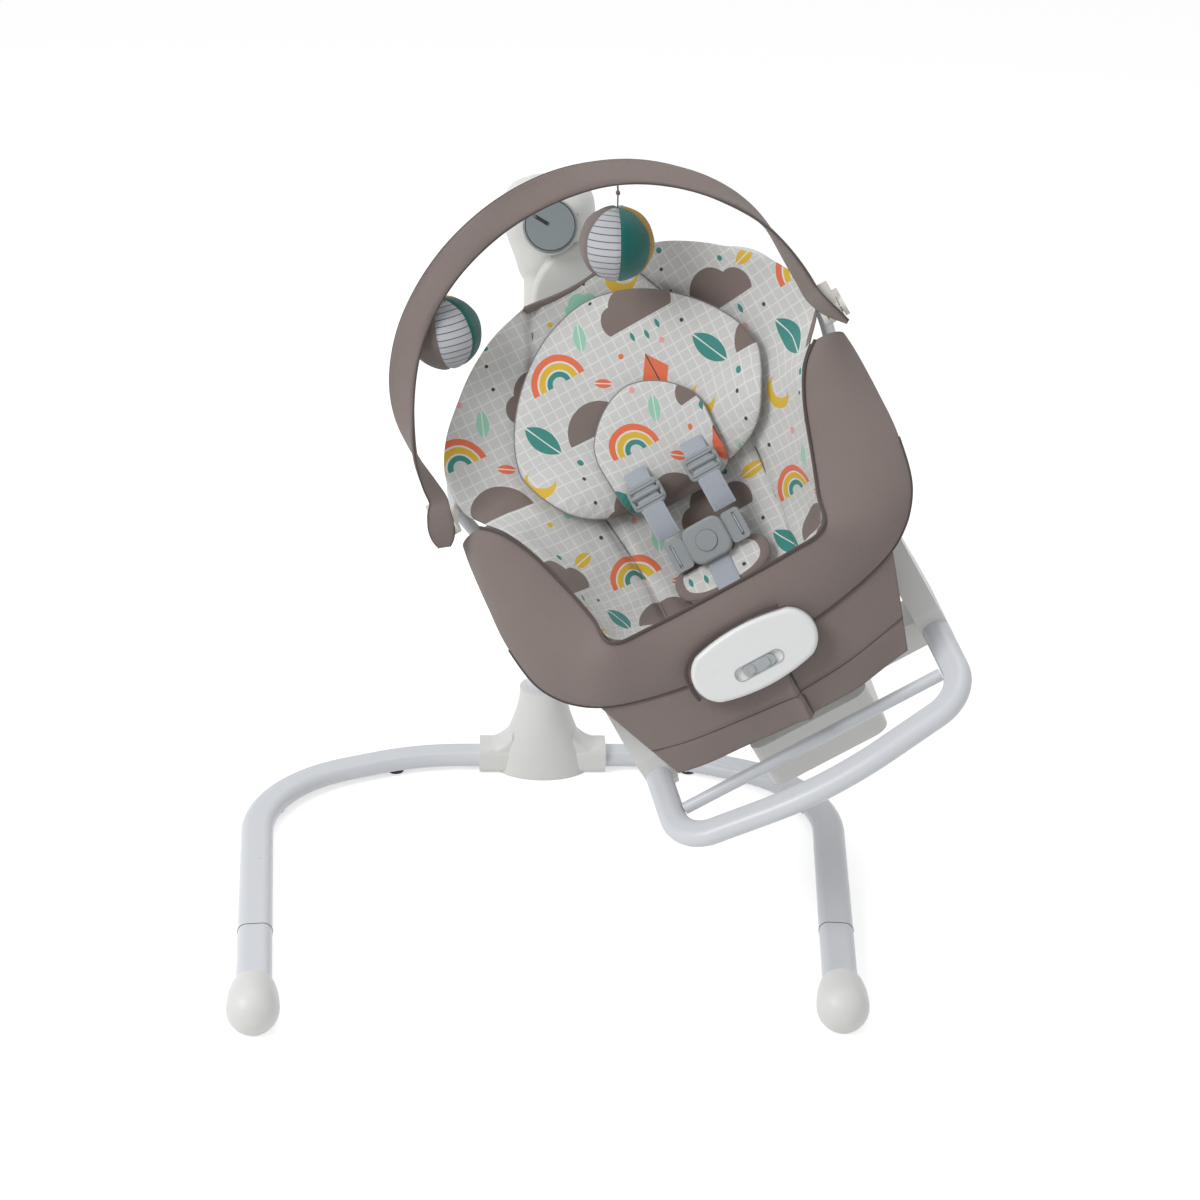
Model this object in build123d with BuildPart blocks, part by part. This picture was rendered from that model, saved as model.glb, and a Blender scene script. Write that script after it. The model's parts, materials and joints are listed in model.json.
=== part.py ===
"""Side-to-side sway swing carrying a lift-off rocker seat for a baby, in millimetres.

X runs to the viewer's right, -Y to the front and Z up; the origin is on the floor under the mast.
The arm and the seat are drawn hanging straight down and then turned about the sway axis.
"""
import os
from math import cos, hypot, radians, sin, sqrt

from build123d import *

os.makedirs("parts", exist_ok=True)

# fits
SLIP = 0.1
RUNNING = 0.05
PRESSED = 0.02
CLEAR = 0.3

# floor frame
TUBE_WIDTH = 36.0
TUBE_HEIGHT = 20.0
TUBE_WALL = 1.5
PAD_HEIGHT = 5.0
PAD_RADIUS = 9.0
TUBE_Z = PAD_HEIGHT + TUBE_HEIGHT / 2
BEND_X = 150.0
BEND_RADIUS = 250.0
CORNER_X = 334.0
CORNER_Y = -82.0
CORNER_RADIUS = 150.0
LEG_END_X = 287.0
LEG_END_Y = -549.0
LEG_JOINT = 0.68
SPIGOT_LENGTH = 60.0
FOOT_RADIUS = 26.0
FOOT_FLAT = 4.0
FOOT_COLLAR = 34.0
PAD_SPOTS = (0.25, 0.53)
SNAP_RADIUS = 3.5

# hub and mast
HUB_HALF = 76.0
HUB_TOP = 108.0
HUB_FLARE = ((70, 33.4), (58, 35.4), (46, 42.5), (36, 55))
HUB_RINGS = ((0, 56, 38), (40, 46, 36), (75, 33, 32), (HUB_TOP, 28, 28))
SOCKET_DEPTH = 46.0
SOCKET_HEIGHT = 34.0
SOCKET_START = 24.0
BASE_PLATE = 4.0
MAST_RADIUS = 20.0
MAST_WALL = 1.5
MAST_BOTTOM = 8.0
SCREW_RADIUS = 2.0
SCREW_HEAD = 3.8
SCREW_LENGTH = 12.0
SNAP_DROP = 24.0
RIM = 6.0

# sway axis and head
PIVOT_Z = 669.0
SWAY_ANGLE = 31.26
MAST_TOP = PIVOT_Z - 39
NECK_RADIUS = 27.0
NECK_BOTTOM = PIVOT_Z - 113
HEAD_RINGS = ((-65, 27, -27, 27), (-44, 36, -32, 34), (-19, 45, -38, 40), (-8, 48, -45, 42),
              (10, 50, -58, 44), (29, 48, -57, 42), (41, 40, -46, 36), (48, 22, -20, 22))
HEAD_WALL = 3.0
CORE_FRONT = -38.0
CORE_BACK = 12.0
COVER_LOW = PIVOT_Z - 9
CAVITY_LOW = PIVOT_Z - 30
CAVITY_HIGH = PIVOT_Z + 43
BACK_COVER_LOW = PIVOT_Z - 27
SHAFT_RADIUS = 6.0
BUSH_RADIUS = 9.0
BUSH_LENGTH = 9.0
BOSS_RADIUS = 15.0
BOSS_BACK = -8.0
GEAR_MODULE = 1.5
GEAR_TEETH = 28
PINION_TEETH = 10
GEAR_FRONT = 2.0
GEAR_WIDTH = 8.0
MOTOR_RADIUS = 13.0
MOTOR_BACK = 31.0
POST_X = 18.0

# dial
DIAL_TILT = 15.0
DIAL_RADIUS = 28.5
DIAL_THICK = 9.0
DIAL_BOSS = 31.0
BOSS_SINK = 18.0
DIAL_Y = -68.0
DIAL_Z = PIVOT_Z + 11

# arm
ARM_Y = -45.0
ROOT_THICK = 10.0
ROOT_RADIUS = 17.0
ROOT_WIDTH = 26.0
ROOT_SPIGOT = 50.0
ROOT_BOTTOM = PIVOT_Z - 57
ARM_RADIUS = 11.0
ARM_WALL = 1.5
ARM_LOW = 118.0
ARM_BEND = 70.0
ARM_END = -310.0
SHROUD_RADIUS = 62.0
SHROUD_FOOT = 24.0
SHROUD_Z = PIVOT_Z - 85
SHROUD_BOTTOM = PIVOT_Z - 240
SHROUD_BACK = -41.0
SHROUD_FRONT = -60.0
CARRIER_HALF = 68.0
CARRIER_FRONT = -330.0
CARRIER_BACK = -170.0
CARRIER_LOW = 98.0
CARRIER_TOP = 148.0
CARRIER_WALL = 4.0
LEVER_Y = -232.0
LEVER_Z = 93.0
LEVER_HALF = 26.0

# rocker seat frame
SEAT_GAP = CARRIER_TOP + CLEAR
BASE_Y = -270.0
BASE_DEEP = 60.0
BASE_TALL = 30.0
BASE_WALL = 4.0
BASE_BLOCK = 14.0
BRACKET_IN = 146.0
BRACKET_OUT = 174.0
BRACKET_SHAPE = ((-354, 166), (-354, 208), (-330, 300), (-272, 312), (-250, 222), (-238, 218), (-238, 176))
BRACKET_BORE = 90.0
TOE_WIDTH = 28.0
TOE_HEIGHT = 21.0
TOE_X = 161.0
TOE_Y = -353.0
TOE_Z = 184.0
TOE_START = -300.0
TOE_SLOPE = 0.38
TOE_CORNER = (160.0, -440.0)
TOE_NOSE = -464.0
TOE_BEND = 42.0
TOE_SWEEP = 420.0
CROSS_RADIUS = 6.5
CROSS_Y = -404.0
RAIL_RADIUS = 9.0
RAIL_BACK = -130.0
RAIL_Z = 192.0
RAIL_START = (160.0, -268.0, 200.0)
RAIL_CORNER = 150.0
RAIL_BEND = 50.0
HOOP_RADIUS = 7.0
HOOP_ROUTE = ((164, -292, 296), (217, -216, 506), (178, -156, 566), (92, -80, 601))
HOOP_BENDS = (60.0, 70.0, 90.0)
LIP_RADIUS = 6.0
LIP_Y = -401.0
LIP_Z = 297.0
LIP_ROUTE = ((160, -322, 288), (146, -384, LIP_Z))
LIP_BEND = 36.0
LIP_SWEEP = 500.0

# padded seat: centre (y, z) and edge (x, y, z) of each row across the liner, from the top of the back
LINER_ROWS = (((-98, 622), (58, -103, 624)), ((-104, 609), (100, -124, 618)),
              ((-113, 588), (134, -149, 605)), ((-124, 567), (162, -168, 587)),
              ((-136, 540), (190, -189, 564)), ((-150, 508), (208, -208, 535)),
              ((-166, 474), (209, -230, 503)), ((-176, 452), (192, -260, 490)),
              ((-187, 429), (170, -284, 474)), ((-200, 400), (154, -300, 445)),
              ((-217, 363), (140, -326, 408)), ((-243, 322), (130, -350, 386)),
              ((-283, 296), (125, -375, 376)), ((-330, 294), (119, -396, 369)),
              ((-366, 312), (114, -398, 362)), ((-384, 333), (108, -399, 356)))
LINER_THICK = 14.0
# padded horseshoe from the middle of the lip to the top of a side: inner edge, outer edge, crown
BOLSTER_ROWS = (((0, -405, 355), (0, -424, 286), 4), ((75, -406, 357), (92, -412, 290), 6),
                ((117, -408, 364), (166, -396, 306), 9), ((127, -368, 379), (206, -380, 340), 12),
                ((141, -330, 408), (221, -345, 384), 13), ((157, -302, 447), (224, -305, 422), 12),
                ((174, -285, 474), (224, -272, 456), 10), ((194, -266, 486), (222, -256, 474), 6))
BOLSTER_DEPTH = 14.0
BOLSTER_GAP = 3.4
# half width of the head pillow and of the body support on each row of the liner
PILLOW_HALF = (0, 0, 66, 102, 124, 136, 141, 139, 131, 106, 0, 0, 0, 0, 0, 0)
PILLOW_THICK = 30.0
SUPPORT_HALF = (0, 0, 0, 0, 0, 22, 54, 64, 67, 64, 0, 0, 0, 0, 0, 0)
SUPPORT_THICK = 11.0
SOFT_GAP = 3.0
# height, half width, edge y and front y of the skirt, from its seam to its hem
SKIRT_ROWS = ((284, 160, -392, -424), (245, 146, -404, -428), (205, 127, -414, -431))
SKIRT_THICK = 5.0

# harness, in a frame on the line of the back
WEB_WIDTH = 25.0
WEB_THICK = 2.4
STRAP_ROLL = 4.0
STRAP_X = 33.0
WAIST_LOW = 14.0
HARNESS_LIFT = 49.0
BUCKLE_WIDTH = 46.0
BUCKLE_HEIGHT = 42.0
BUCKLE_THICK = 13.0
BUCKLE_DOWN = 313.0
STRAP_TOP = 233.8
ADJUSTER_DOWN = 242.0
# distance below the buckle's middle, lift off the back and half width of the crotch pad
CROTCH_ROWS = ((11, 31, 26), (18, 34, 44), (32, 41, 53), (45, 48, 52), (53, 52, 46))
BUTTON_RADIUS = 11.0
BUTTON_TRAVEL = 2.5

# vibration unit
PANEL_WIDTH = 132.0
PANEL_HEIGHT = 66.0
PANEL_THICK = 10.0
PANEL_Y = -429.0
PANEL_Z = 291.0
PANEL_TILT = 12.7
SWITCH_WIDTH = 34.0
SWITCH_HEIGHT = 12.0
SWITCH_TRAVEL = 8.0
HOUSING_HALF = 48.0
HOUSING_FRONT = -412.0
HOUSING_BACK = -368.0
HOUSING_LOW = 228.0
HOUSING_TOP = 284.0
HOUSING_WALL = 3.0
PANEL_SCREW_X = 36.0
PANEL_SCREW_Z = HOUSING_TOP - 16
CELL_RADIUS = 17.0
CELL_LENGTH = 60.0
SHAKER_RADIUS = 8.0

# toy bar
BAR_RADIUS = 220.0
BAR_WIDTH = 28.0
BAR_THICK = 9.0
BAR_LEAN = 21.5
BAR_Y = -260.0
BAR_Z = 531.0
BAR_LEG = 30.0
EYE_RADIUS = 8.0
EYE_IN = 216.0
EYE_OUT = 232.0
PIN_RADIUS = 3.0
EAR_THICK = 4.7
CLIP_BACK = -224.5
BALL_RADIUS = 38.0
BALL_1_ANGLE = 27.5
BALL_1_STRING = 13.0
BALL_2_ANGLE = -28.0
BALL_2_STRING = 23.0
BALL_2_BACK = 18.0
CORD_RADIUS = 1.2
BEAD_RADIUS = 2.4
BEAD_HALF = 2.5

SWAY_AXIS = Axis((0, 0, PIVOT_Z), (0, -1, 0))
SIDES = ((-1, "left"), (1, "right"))


def save(builder, name):
    """Labels a piece that stands still and writes it."""
    builder.part.label = name
    export_step(builder.part, f"parts/{name}.step")


def save_hung(builder, name):
    """Turns a piece of the arm or the seat to its place on the sway, labels it and writes it."""
    builder.part = builder.part.rotate(SWAY_AXIS, SWAY_ANGLE)
    save(builder, name)


def toward(start, end):
    """The unit direction from one point to another."""
    return (Vector(*end) - Vector(*start)).normalized()


def swayed(x, y, z):
    """Where a point of the hanging seat stands after the sway."""
    turn = radians(SWAY_ANGLE)
    height = z - PIVOT_Z
    return (x * cos(turn) - height * sin(turn), y, PIVOT_Z + x * sin(turn) + height * cos(turn))


def liner_plane(row):
    """The plane of a liner row: X across, Y from the centre of the row toward its edges."""
    (y, z), (_, edge_y, edge_z) = LINER_ROWS[row]
    rise = hypot(edge_y - y, edge_z - z)
    return Plane((0, y, z), x_dir=(1, 0, 0), z_dir=(0, (z - edge_z) / rise, (edge_y - y) / rise))


def liner_rise(row, half):
    """How far the liner's face has risen at a distance from the middle of a row."""
    (y, z), (edge_x, edge_y, edge_z) = LINER_ROWS[row]
    rise = hypot(edge_y - y, edge_z - z)
    radius = (edge_x ** 2 + rise ** 2) / (2 * rise)
    return radius - sqrt(radius ** 2 - half ** 2)


def crescent(half, edge, front, back):
    """Draws the lens between two arcs that share their ends."""
    with BuildLine() as outline:
        ThreePointArc((-half, edge), (0, front), (half, edge))
        ThreePointArc((half, edge), (0, back), (-half, edge))
    make_face(outline.edges())


# hub, mast and floor frame
with BuildPart() as hub_shell:
    for ring_z, half_x, half_y in HUB_RINGS:
        with BuildSketch(Plane.XY.offset(ring_z)):
            Ellipse(half_x, half_y)
    loft()
    with BuildSketch(Plane.YZ.offset(-HUB_HALF)):
        with Locations((0, SOCKET_HEIGHT / 2)):
            RectangleRounded(SOCKET_DEPTH, SOCKET_HEIGHT, 10)
    extrude(amount=2 * HUB_HALF)
    for side, word in SIDES:
        for flare_x, flare_z in HUB_FLARE:
            with BuildSketch(Plane.YZ.offset(side * flare_x)):
                with Locations((0, flare_z / 2)):
                    RectangleRounded(SOCKET_DEPTH - RIM / 2, flare_z, 10)
        loft()
    with BuildSketch(Plane.XY.offset(MAST_BOTTOM)):
        Circle(MAST_RADIUS + SLIP)
    extrude(amount=HUB_TOP, mode=Mode.SUBTRACT)
    for side, word in SIDES:
        with BuildSketch(Plane.YZ.offset(side * SOCKET_START)):
            with Locations((0, TUBE_Z)):
                SlotOverall(TUBE_WIDTH + 2 * SLIP, TUBE_HEIGHT + 2 * SLIP)
        extrude(amount=side * HUB_HALF, mode=Mode.SUBTRACT)
    with BuildSketch():
        Ellipse(HUB_RINGS[0][1] - RIM, HUB_RINGS[0][2] - RIM)
    extrude(amount=BASE_PLATE, mode=Mode.SUBTRACT)
    with BuildSketch(Plane.XY.offset(BASE_PLATE)):
        with Locations((0, -MAST_RADIUS - 5), (0, MAST_RADIUS + 5)):
            Circle(SCREW_RADIUS + SLIP)
    extrude(amount=SCREW_LENGTH, mode=Mode.SUBTRACT)
    with BuildSketch(Plane.XZ):
        with Locations((0, HUB_TOP - SNAP_DROP)):
            Circle(SNAP_RADIUS + SLIP)
    extrude(amount=-2 * MAST_RADIUS, mode=Mode.SUBTRACT)
save(hub_shell, "hub_shell")

with BuildPart() as hub_base:
    with BuildSketch():
        Ellipse(HUB_RINGS[0][1] - RIM - SLIP, HUB_RINGS[0][2] - RIM - SLIP)
        with Locations((0, -MAST_RADIUS - 5), (0, MAST_RADIUS + 5)):
            Circle(SCREW_RADIUS + SLIP, mode=Mode.SUBTRACT)
    extrude(amount=BASE_PLATE)
    with BuildSketch():
        with Locations((0, -MAST_RADIUS - 5), (0, MAST_RADIUS + 5)):
            Circle(SCREW_HEAD + SLIP)
    extrude(amount=BASE_PLATE / 2, mode=Mode.SUBTRACT)
save(hub_base, "hub_base")

with BuildPart() as hub_screws:
    with BuildSketch(Plane.XY.offset(0.2)):
        with Locations((0, -MAST_RADIUS - 5), (0, MAST_RADIUS + 5)):
            Circle(SCREW_HEAD)
    extrude(amount=BASE_PLATE / 2 - 0.2)
    with BuildSketch(Plane.XY.offset(BASE_PLATE / 2)):
        with Locations((0, -MAST_RADIUS - 5), (0, MAST_RADIUS + 5)):
            Circle(SCREW_RADIUS)
    extrude(amount=SCREW_LENGTH)
save(hub_screws, "hub_screws")

with BuildPart() as mast_tube:
    with BuildSketch(Plane.XY.offset(MAST_BOTTOM)):
        Circle(MAST_RADIUS)
        Circle(MAST_RADIUS - MAST_WALL, mode=Mode.SUBTRACT)
    extrude(amount=MAST_TOP - MAST_BOTTOM)
    with BuildSketch(Plane.XZ):
        with Locations((0, HUB_TOP - SNAP_DROP)):
            Circle(SNAP_RADIUS + SLIP)
    extrude(amount=-MAST_RADIUS - 1, mode=Mode.SUBTRACT)
save(mast_tube, "mast_tube")

leg_way = toward((CORNER_X, CORNER_Y), (LEG_END_X, LEG_END_Y))
joint_x = CORNER_X + LEG_JOINT * (LEG_END_X - CORNER_X)
joint_y = CORNER_Y + LEG_JOINT * (LEG_END_Y - CORNER_Y)
snap_x = joint_x - leg_way.X * SPIGOT_LENGTH / 2
snap_y = joint_y - leg_way.Y * SPIGOT_LENGTH / 2
pad_points = []
for side, word in SIDES:
    with BuildPart() as rear_tube:
        with BuildLine() as rear_path:
            FilletPolyline((side * SOCKET_START, 0, TUBE_Z), (side * BEND_X, 0, TUBE_Z),
                           (side * CORNER_X, CORNER_Y, TUBE_Z), (side * joint_x, joint_y, TUBE_Z),
                           radius=(BEND_RADIUS, CORNER_RADIUS))
        rear_line = rear_path.wire()
        with BuildSketch(Plane(rear_line @ 0, x_dir=(0, 1, 0), z_dir=rear_line % 0)):
            SlotOverall(TUBE_WIDTH, TUBE_HEIGHT)
            SlotOverall(TUBE_WIDTH - 2 * TUBE_WALL, TUBE_HEIGHT - 2 * TUBE_WALL, mode=Mode.SUBTRACT)
        sweep(path=rear_line)
        with BuildSketch():
            with Locations((side * snap_x, snap_y)):
                Circle(SNAP_RADIUS + SLIP)
        extrude(amount=TUBE_Z, mode=Mode.SUBTRACT)
    pad_points += [rear_line @ spot for spot in PAD_SPOTS]
    save(rear_tube, f"rear_tube_{word}")

    leg_plane = Plane((side * joint_x, joint_y, TUBE_Z), x_dir=(-leg_way.Y, side * leg_way.X, 0),
                      z_dir=(side * leg_way.X, leg_way.Y, 0))
    with BuildPart() as front_tube:
        with BuildSketch(leg_plane.offset(CLEAR)):
            SlotOverall(TUBE_WIDTH, TUBE_HEIGHT)
            SlotOverall(TUBE_WIDTH - 4 * TUBE_WALL, TUBE_HEIGHT - 4 * TUBE_WALL, mode=Mode.SUBTRACT)
        extrude(amount=hypot(LEG_END_X - joint_x, LEG_END_Y - joint_y) - CLEAR)
        with BuildSketch(leg_plane.offset(-SPIGOT_LENGTH)):
            SlotOverall(TUBE_WIDTH - 2 * TUBE_WALL - 2 * SLIP, TUBE_HEIGHT - 2 * TUBE_WALL - 2 * SLIP)
            SlotOverall(TUBE_WIDTH - 4 * TUBE_WALL, TUBE_HEIGHT - 4 * TUBE_WALL, mode=Mode.SUBTRACT)
        extrude(amount=SPIGOT_LENGTH + CLEAR)
        with BuildSketch():
            with Locations((side * snap_x, snap_y)):
                Circle(SNAP_RADIUS + SLIP)
        extrude(amount=TUBE_Z, mode=Mode.SUBTRACT)
    save(front_tube, f"front_tube_{word}")

with BuildPart() as front_feet:
    for side, word in SIDES:
        leg_x_dir = (-leg_way.Y, side * leg_way.X, 0)
        leg_z_dir = (side * leg_way.X, leg_way.Y, 0)
        foot_spot = (side * LEG_END_X, LEG_END_Y, FOOT_RADIUS - FOOT_FLAT)
        with BuildSketch(Plane(foot_spot, x_dir=leg_x_dir, z_dir=(0, 0, -1))):
            with BuildLine():
                foot_slant = FOOT_RADIUS * cos(radians(45))
                ThreePointArc((FOOT_RADIUS, 0), (foot_slant, foot_slant), (0, FOOT_RADIUS))
                Polyline((0, FOOT_RADIUS), (0, -FOOT_COLLAR), (FOOT_RADIUS - 4, -FOOT_COLLAR))
                ThreePointArc((FOOT_RADIUS - 4, -FOOT_COLLAR), (FOOT_RADIUS - 1, -FOOT_COLLAR / 2),
                              (FOOT_RADIUS, 0))
            make_face()
        revolve(axis=Axis(foot_spot, leg_z_dir))
        with BuildSketch(Plane((side * LEG_END_X, LEG_END_Y, TUBE_Z), x_dir=leg_x_dir, z_dir=leg_z_dir)):
            SlotOverall(TUBE_WIDTH + 2 * SLIP, TUBE_HEIGHT + 2 * SLIP)
        extrude(amount=-FOOT_COLLAR - 1, mode=Mode.SUBTRACT)
        with Locations((side * LEG_END_X, LEG_END_Y, -FOOT_RADIUS)):
            Box(4 * FOOT_RADIUS, 4 * FOOT_RADIUS, 2 * FOOT_RADIUS, mode=Mode.SUBTRACT)
save(front_feet, "front_feet")

with BuildPart() as floor_pads:
    with BuildSketch():
        with Locations(*[(point.X, point.Y) for point in pad_points]):
            Circle(PAD_RADIUS)
    extrude(amount=PAD_HEIGHT)
save(floor_pads, "floor_pads")

with BuildPart() as snap_buttons:
    with BuildSketch(Plane.XY.offset(PAD_HEIGHT - 1)):
        with Locations((-snap_x, snap_y), (snap_x, snap_y)):
            Circle(SNAP_RADIUS)
    extrude(amount=2 * TUBE_WALL + 4)
    with BuildSketch(Plane.XZ.offset(-MAST_RADIUS + 4)):
        with Locations((0, HUB_TOP - SNAP_DROP)):
            Circle(SNAP_RADIUS)
    extrude(amount=-17)
save(snap_buttons, "snap_buttons")

# head on the mast
with BuildPart() as head_form:
    for ring_z, half_x, ring_front, ring_back in HEAD_RINGS:
        with BuildSketch(Plane.XY.offset(PIVOT_Z + ring_z)):
            with Locations((0, (ring_front + ring_back) / 2)):
                Ellipse(half_x, (ring_back - ring_front) / 2)
    loft()

with BuildPart() as head_cavity:
    for ring_z, half_x, ring_front, ring_back in HEAD_RINGS:
        with BuildSketch(Plane.XY.offset(PIVOT_Z + ring_z)):
            with Locations((0, (ring_front + ring_back) / 2)):
                Ellipse(half_x - HEAD_WALL, (ring_back - ring_front) / 2 - HEAD_WALL)
    loft()
    cavity_front = CORE_FRONT + HEAD_WALL + 4
    with Locations((0, cavity_front + 50, (CAVITY_LOW + CAVITY_HIGH) / 2)):
        Box(200, 100, CAVITY_HIGH - CAVITY_LOW, mode=Mode.INTERSECT)

gear_radius = GEAR_MODULE * GEAR_TEETH / 2
pinion_radius = GEAR_MODULE * PINION_TEETH / 2
pinion_z = PIVOT_Z + gear_radius + pinion_radius
dial_way = Vector(0, -cos(radians(DIAL_TILT)), sin(radians(DIAL_TILT)))
dial_plane = Plane((0, DIAL_Y, DIAL_Z), x_dir=(1, 0, 0), z_dir=dial_way)

with BuildPart() as head_core:
    add(head_form.part)
    with BuildSketch(Plane.XY.offset(NECK_BOTTOM)):
        Circle(NECK_RADIUS)
    extrude(amount=PIVOT_Z + HEAD_RINGS[0][0] - NECK_BOTTOM)
    with Locations((0, CORE_FRONT - 50, PIVOT_Z)):
        Box(200, 100, 400, mode=Mode.SUBTRACT)
    with Locations((0, CORE_BACK + 50, BACK_COVER_LOW + 100)):
        Box(200, 100, 200, mode=Mode.SUBTRACT)
    add(head_cavity.part, mode=Mode.SUBTRACT)
    with BuildSketch(Plane.XZ.offset(-CORE_FRONT)):
        with Locations((0, PIVOT_Z)):
            Circle(BOSS_RADIUS)
    extrude(amount=CORE_FRONT - BOSS_BACK)
    with BuildSketch(Plane.XZ.offset(-CORE_FRONT)):
        with Locations((0, PIVOT_Z)):
            Circle(BUSH_RADIUS + PRESSED)
    extrude(amount=CORE_FRONT - BOSS_BACK, mode=Mode.SUBTRACT)
    with BuildSketch(Plane.XY.offset(NECK_BOTTOM)):
        Circle(MAST_RADIUS + SLIP)
    extrude(amount=MAST_TOP - NECK_BOTTOM, mode=Mode.SUBTRACT)
save(head_core, "head_core")

with BuildPart() as head_back_cover:
    add(head_form.part)
    with Locations((0, CORE_BACK + SLIP + 50, BACK_COVER_LOW + SLIP + 100)):
        Box(200, 100, 200, mode=Mode.INTERSECT)
    add(head_cavity.part, mode=Mode.SUBTRACT)
save(head_back_cover, "head_back_cover")

with BuildPart() as head_front_cover:
    add(head_form.part)
    with Locations((0, CORE_FRONT - CLEAR - 50, COVER_LOW + 100)):
        Box(200, 100, 200, mode=Mode.INTERSECT)
    with BuildSketch(dial_plane):
        Circle(DIAL_BOSS)
    extrude(amount=CORE_FRONT - CLEAR - DIAL_Y - BOSS_SINK, dir=-dial_way)
    with Locations((0, ARM_Y + ROOT_THICK / 2 - 10, PIVOT_Z - 10)):
        Box(60, 2 * ROOT_THICK + 4, 2 * ROOT_RADIUS + 26, mode=Mode.SUBTRACT)
    with BuildSketch(dial_plane.offset(-4)):
        Circle(DIAL_RADIUS + CLEAR)
    extrude(amount=20, mode=Mode.SUBTRACT)
    with BuildSketch(dial_plane.offset(-8)):
        Circle(4 + RUNNING)
    extrude(amount=20, mode=Mode.SUBTRACT)
save(head_front_cover, "head_front_cover")

with BuildPart() as speed_dial:
    with BuildSketch(dial_plane.offset(-4 + CLEAR)):
        Circle(DIAL_RADIUS)
    extrude(amount=DIAL_THICK)
    fillet(speed_dial.faces().sort_by(Axis((0, 0, 0), dial_way))[-1].edges(), 2)
    with BuildSketch(dial_plane.offset(-8 + CLEAR)):
        Circle(4)
    extrude(amount=5)
    pointer_plane = dial_plane.offset(-4 + CLEAR + DIAL_THICK)
    with BuildSketch(pointer_plane):
        with Locations((-9, 5.2)):
            SlotOverall(20, 4, rotation=150)
    extrude(amount=-1, mode=Mode.SUBTRACT)
save(speed_dial, "speed_dial")

with BuildPart() as shaft_bushes:
    for bush_front in (CORE_FRONT, BOSS_BACK - BUSH_LENGTH):
        with BuildSketch(Plane.XZ.offset(-bush_front)):
            with Locations((0, PIVOT_Z)):
                Circle(BUSH_RADIUS)
                Circle(SHAFT_RADIUS + RUNNING, mode=Mode.SUBTRACT)
        extrude(amount=-BUSH_LENGTH)
save(shaft_bushes, "shaft_bushes")

with BuildPart() as drive_plate:
    with BuildSketch(Plane.XZ.offset(-BOSS_BACK)):
        with Locations((0, (PIVOT_Z + pinion_z) / 2 + 2)):
            RectangleRounded(2 * POST_X + 10, pinion_z - PIVOT_Z + 24, 6)
        with Locations((0, PIVOT_Z)):
            Circle(SHAFT_RADIUS + 1, mode=Mode.SUBTRACT)
        with Locations((0, pinion_z)):
            Circle(2 + RUNNING, mode=Mode.SUBTRACT)
    extrude(amount=-4)
    with BuildSketch(Plane.XZ.offset(-BOSS_BACK - 4)):
        with Locations((-POST_X, pinion_z), (POST_X, pinion_z)):
            Circle(3.5)
    extrude(amount=BOSS_BACK + 4 - GEAR_FRONT - GEAR_WIDTH - 2)
save(drive_plate, "drive_plate")

with BuildPart() as drive_motor:
    with BuildSketch(Plane.XZ.offset(-GEAR_FRONT - GEAR_WIDTH - 2)):
        with Locations((0, pinion_z)):
            SlotOverall(2 * POST_X + 9, 12)
            Circle(MOTOR_RADIUS)
    extrude(amount=-2)
    with BuildSketch(Plane.XZ.offset(-GEAR_FRONT - GEAR_WIDTH - 4)):
        with Locations((0, pinion_z)):
            Circle(MOTOR_RADIUS)
    extrude(amount=GEAR_FRONT + GEAR_WIDTH + 4 - MOTOR_BACK)
    with BuildSketch(Plane.XZ.offset(-GEAR_FRONT - GEAR_WIDTH - 2)):
        with Locations((0, pinion_z)):
            Circle(2 + RUNNING)
    extrude(amount=-8, mode=Mode.SUBTRACT)
save(drive_motor, "drive_motor")


def draw_gear(teeth, first):
    """Draws a spur gear with straight flanks and the backlash of a moulded gear pair."""
    pitch = 3.1416 * GEAR_MODULE
    root = GEAR_MODULE * teeth / 2 - 1.15 * GEAR_MODULE
    tall = 2 * GEAR_MODULE + 0.2
    Circle(root)
    with PolarLocations(root + tall / 2 - 0.3, teeth, start_angle=first):
        Trapezoid(0.40 * pitch + 2 * 1.35 * GEAR_MODULE * 0.364, tall, 70, rotation=-90)


with BuildPart() as drive_pinion:
    with BuildSketch(Plane.XZ.offset(-GEAR_FRONT)):
        with Locations((0, pinion_z)):
            draw_gear(PINION_TEETH, -90)
    extrude(amount=-GEAR_WIDTH)
    with BuildSketch(Plane.XZ.offset(-BOSS_BACK)):
        with Locations((0, pinion_z)):
            Circle(2)
    extrude(amount=BOSS_BACK - GEAR_FRONT - GEAR_WIDTH - 9)
save(drive_pinion, "drive_pinion")

with BuildPart() as control_board:
    with Locations((0, CORE_BACK + 12, PIVOT_Z - 8)):
        Box(40, 1.6, 26)
    with Locations((-10, CORE_BACK + 9, PIVOT_Z - 6), (10, CORE_BACK + 9, PIVOT_Z - 10)):
        Box(12, 5, 12)
    with Locations((-10, CORE_BACK + 18.5, PIVOT_Z - 8), (10, CORE_BACK + 18.5, PIVOT_Z - 8)):
        Box(5, 12, 5)
save(control_board, "control_board")

# swing arm
with BuildPart() as sway_shaft:
    with BuildSketch(Plane.XZ.offset(-ARM_Y + ROOT_THICK / 2)):
        with Locations((0, PIVOT_Z)):
            Circle(SHAFT_RADIUS)
    extrude(amount=ARM_Y - ROOT_THICK / 2 - GEAR_FRONT - GEAR_WIDTH)
save(sway_shaft, "sway_shaft")

with BuildPart() as sway_gear:
    with BuildSketch(Plane.XZ.offset(-GEAR_FRONT)):
        with Locations((0, PIVOT_Z)):
            draw_gear(GEAR_TEETH, 90 + 180 / GEAR_TEETH)
            Circle(SHAFT_RADIUS + PRESSED, mode=Mode.SUBTRACT)
    extrude(amount=-GEAR_WIDTH)
save(sway_gear, "sway_gear")

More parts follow.
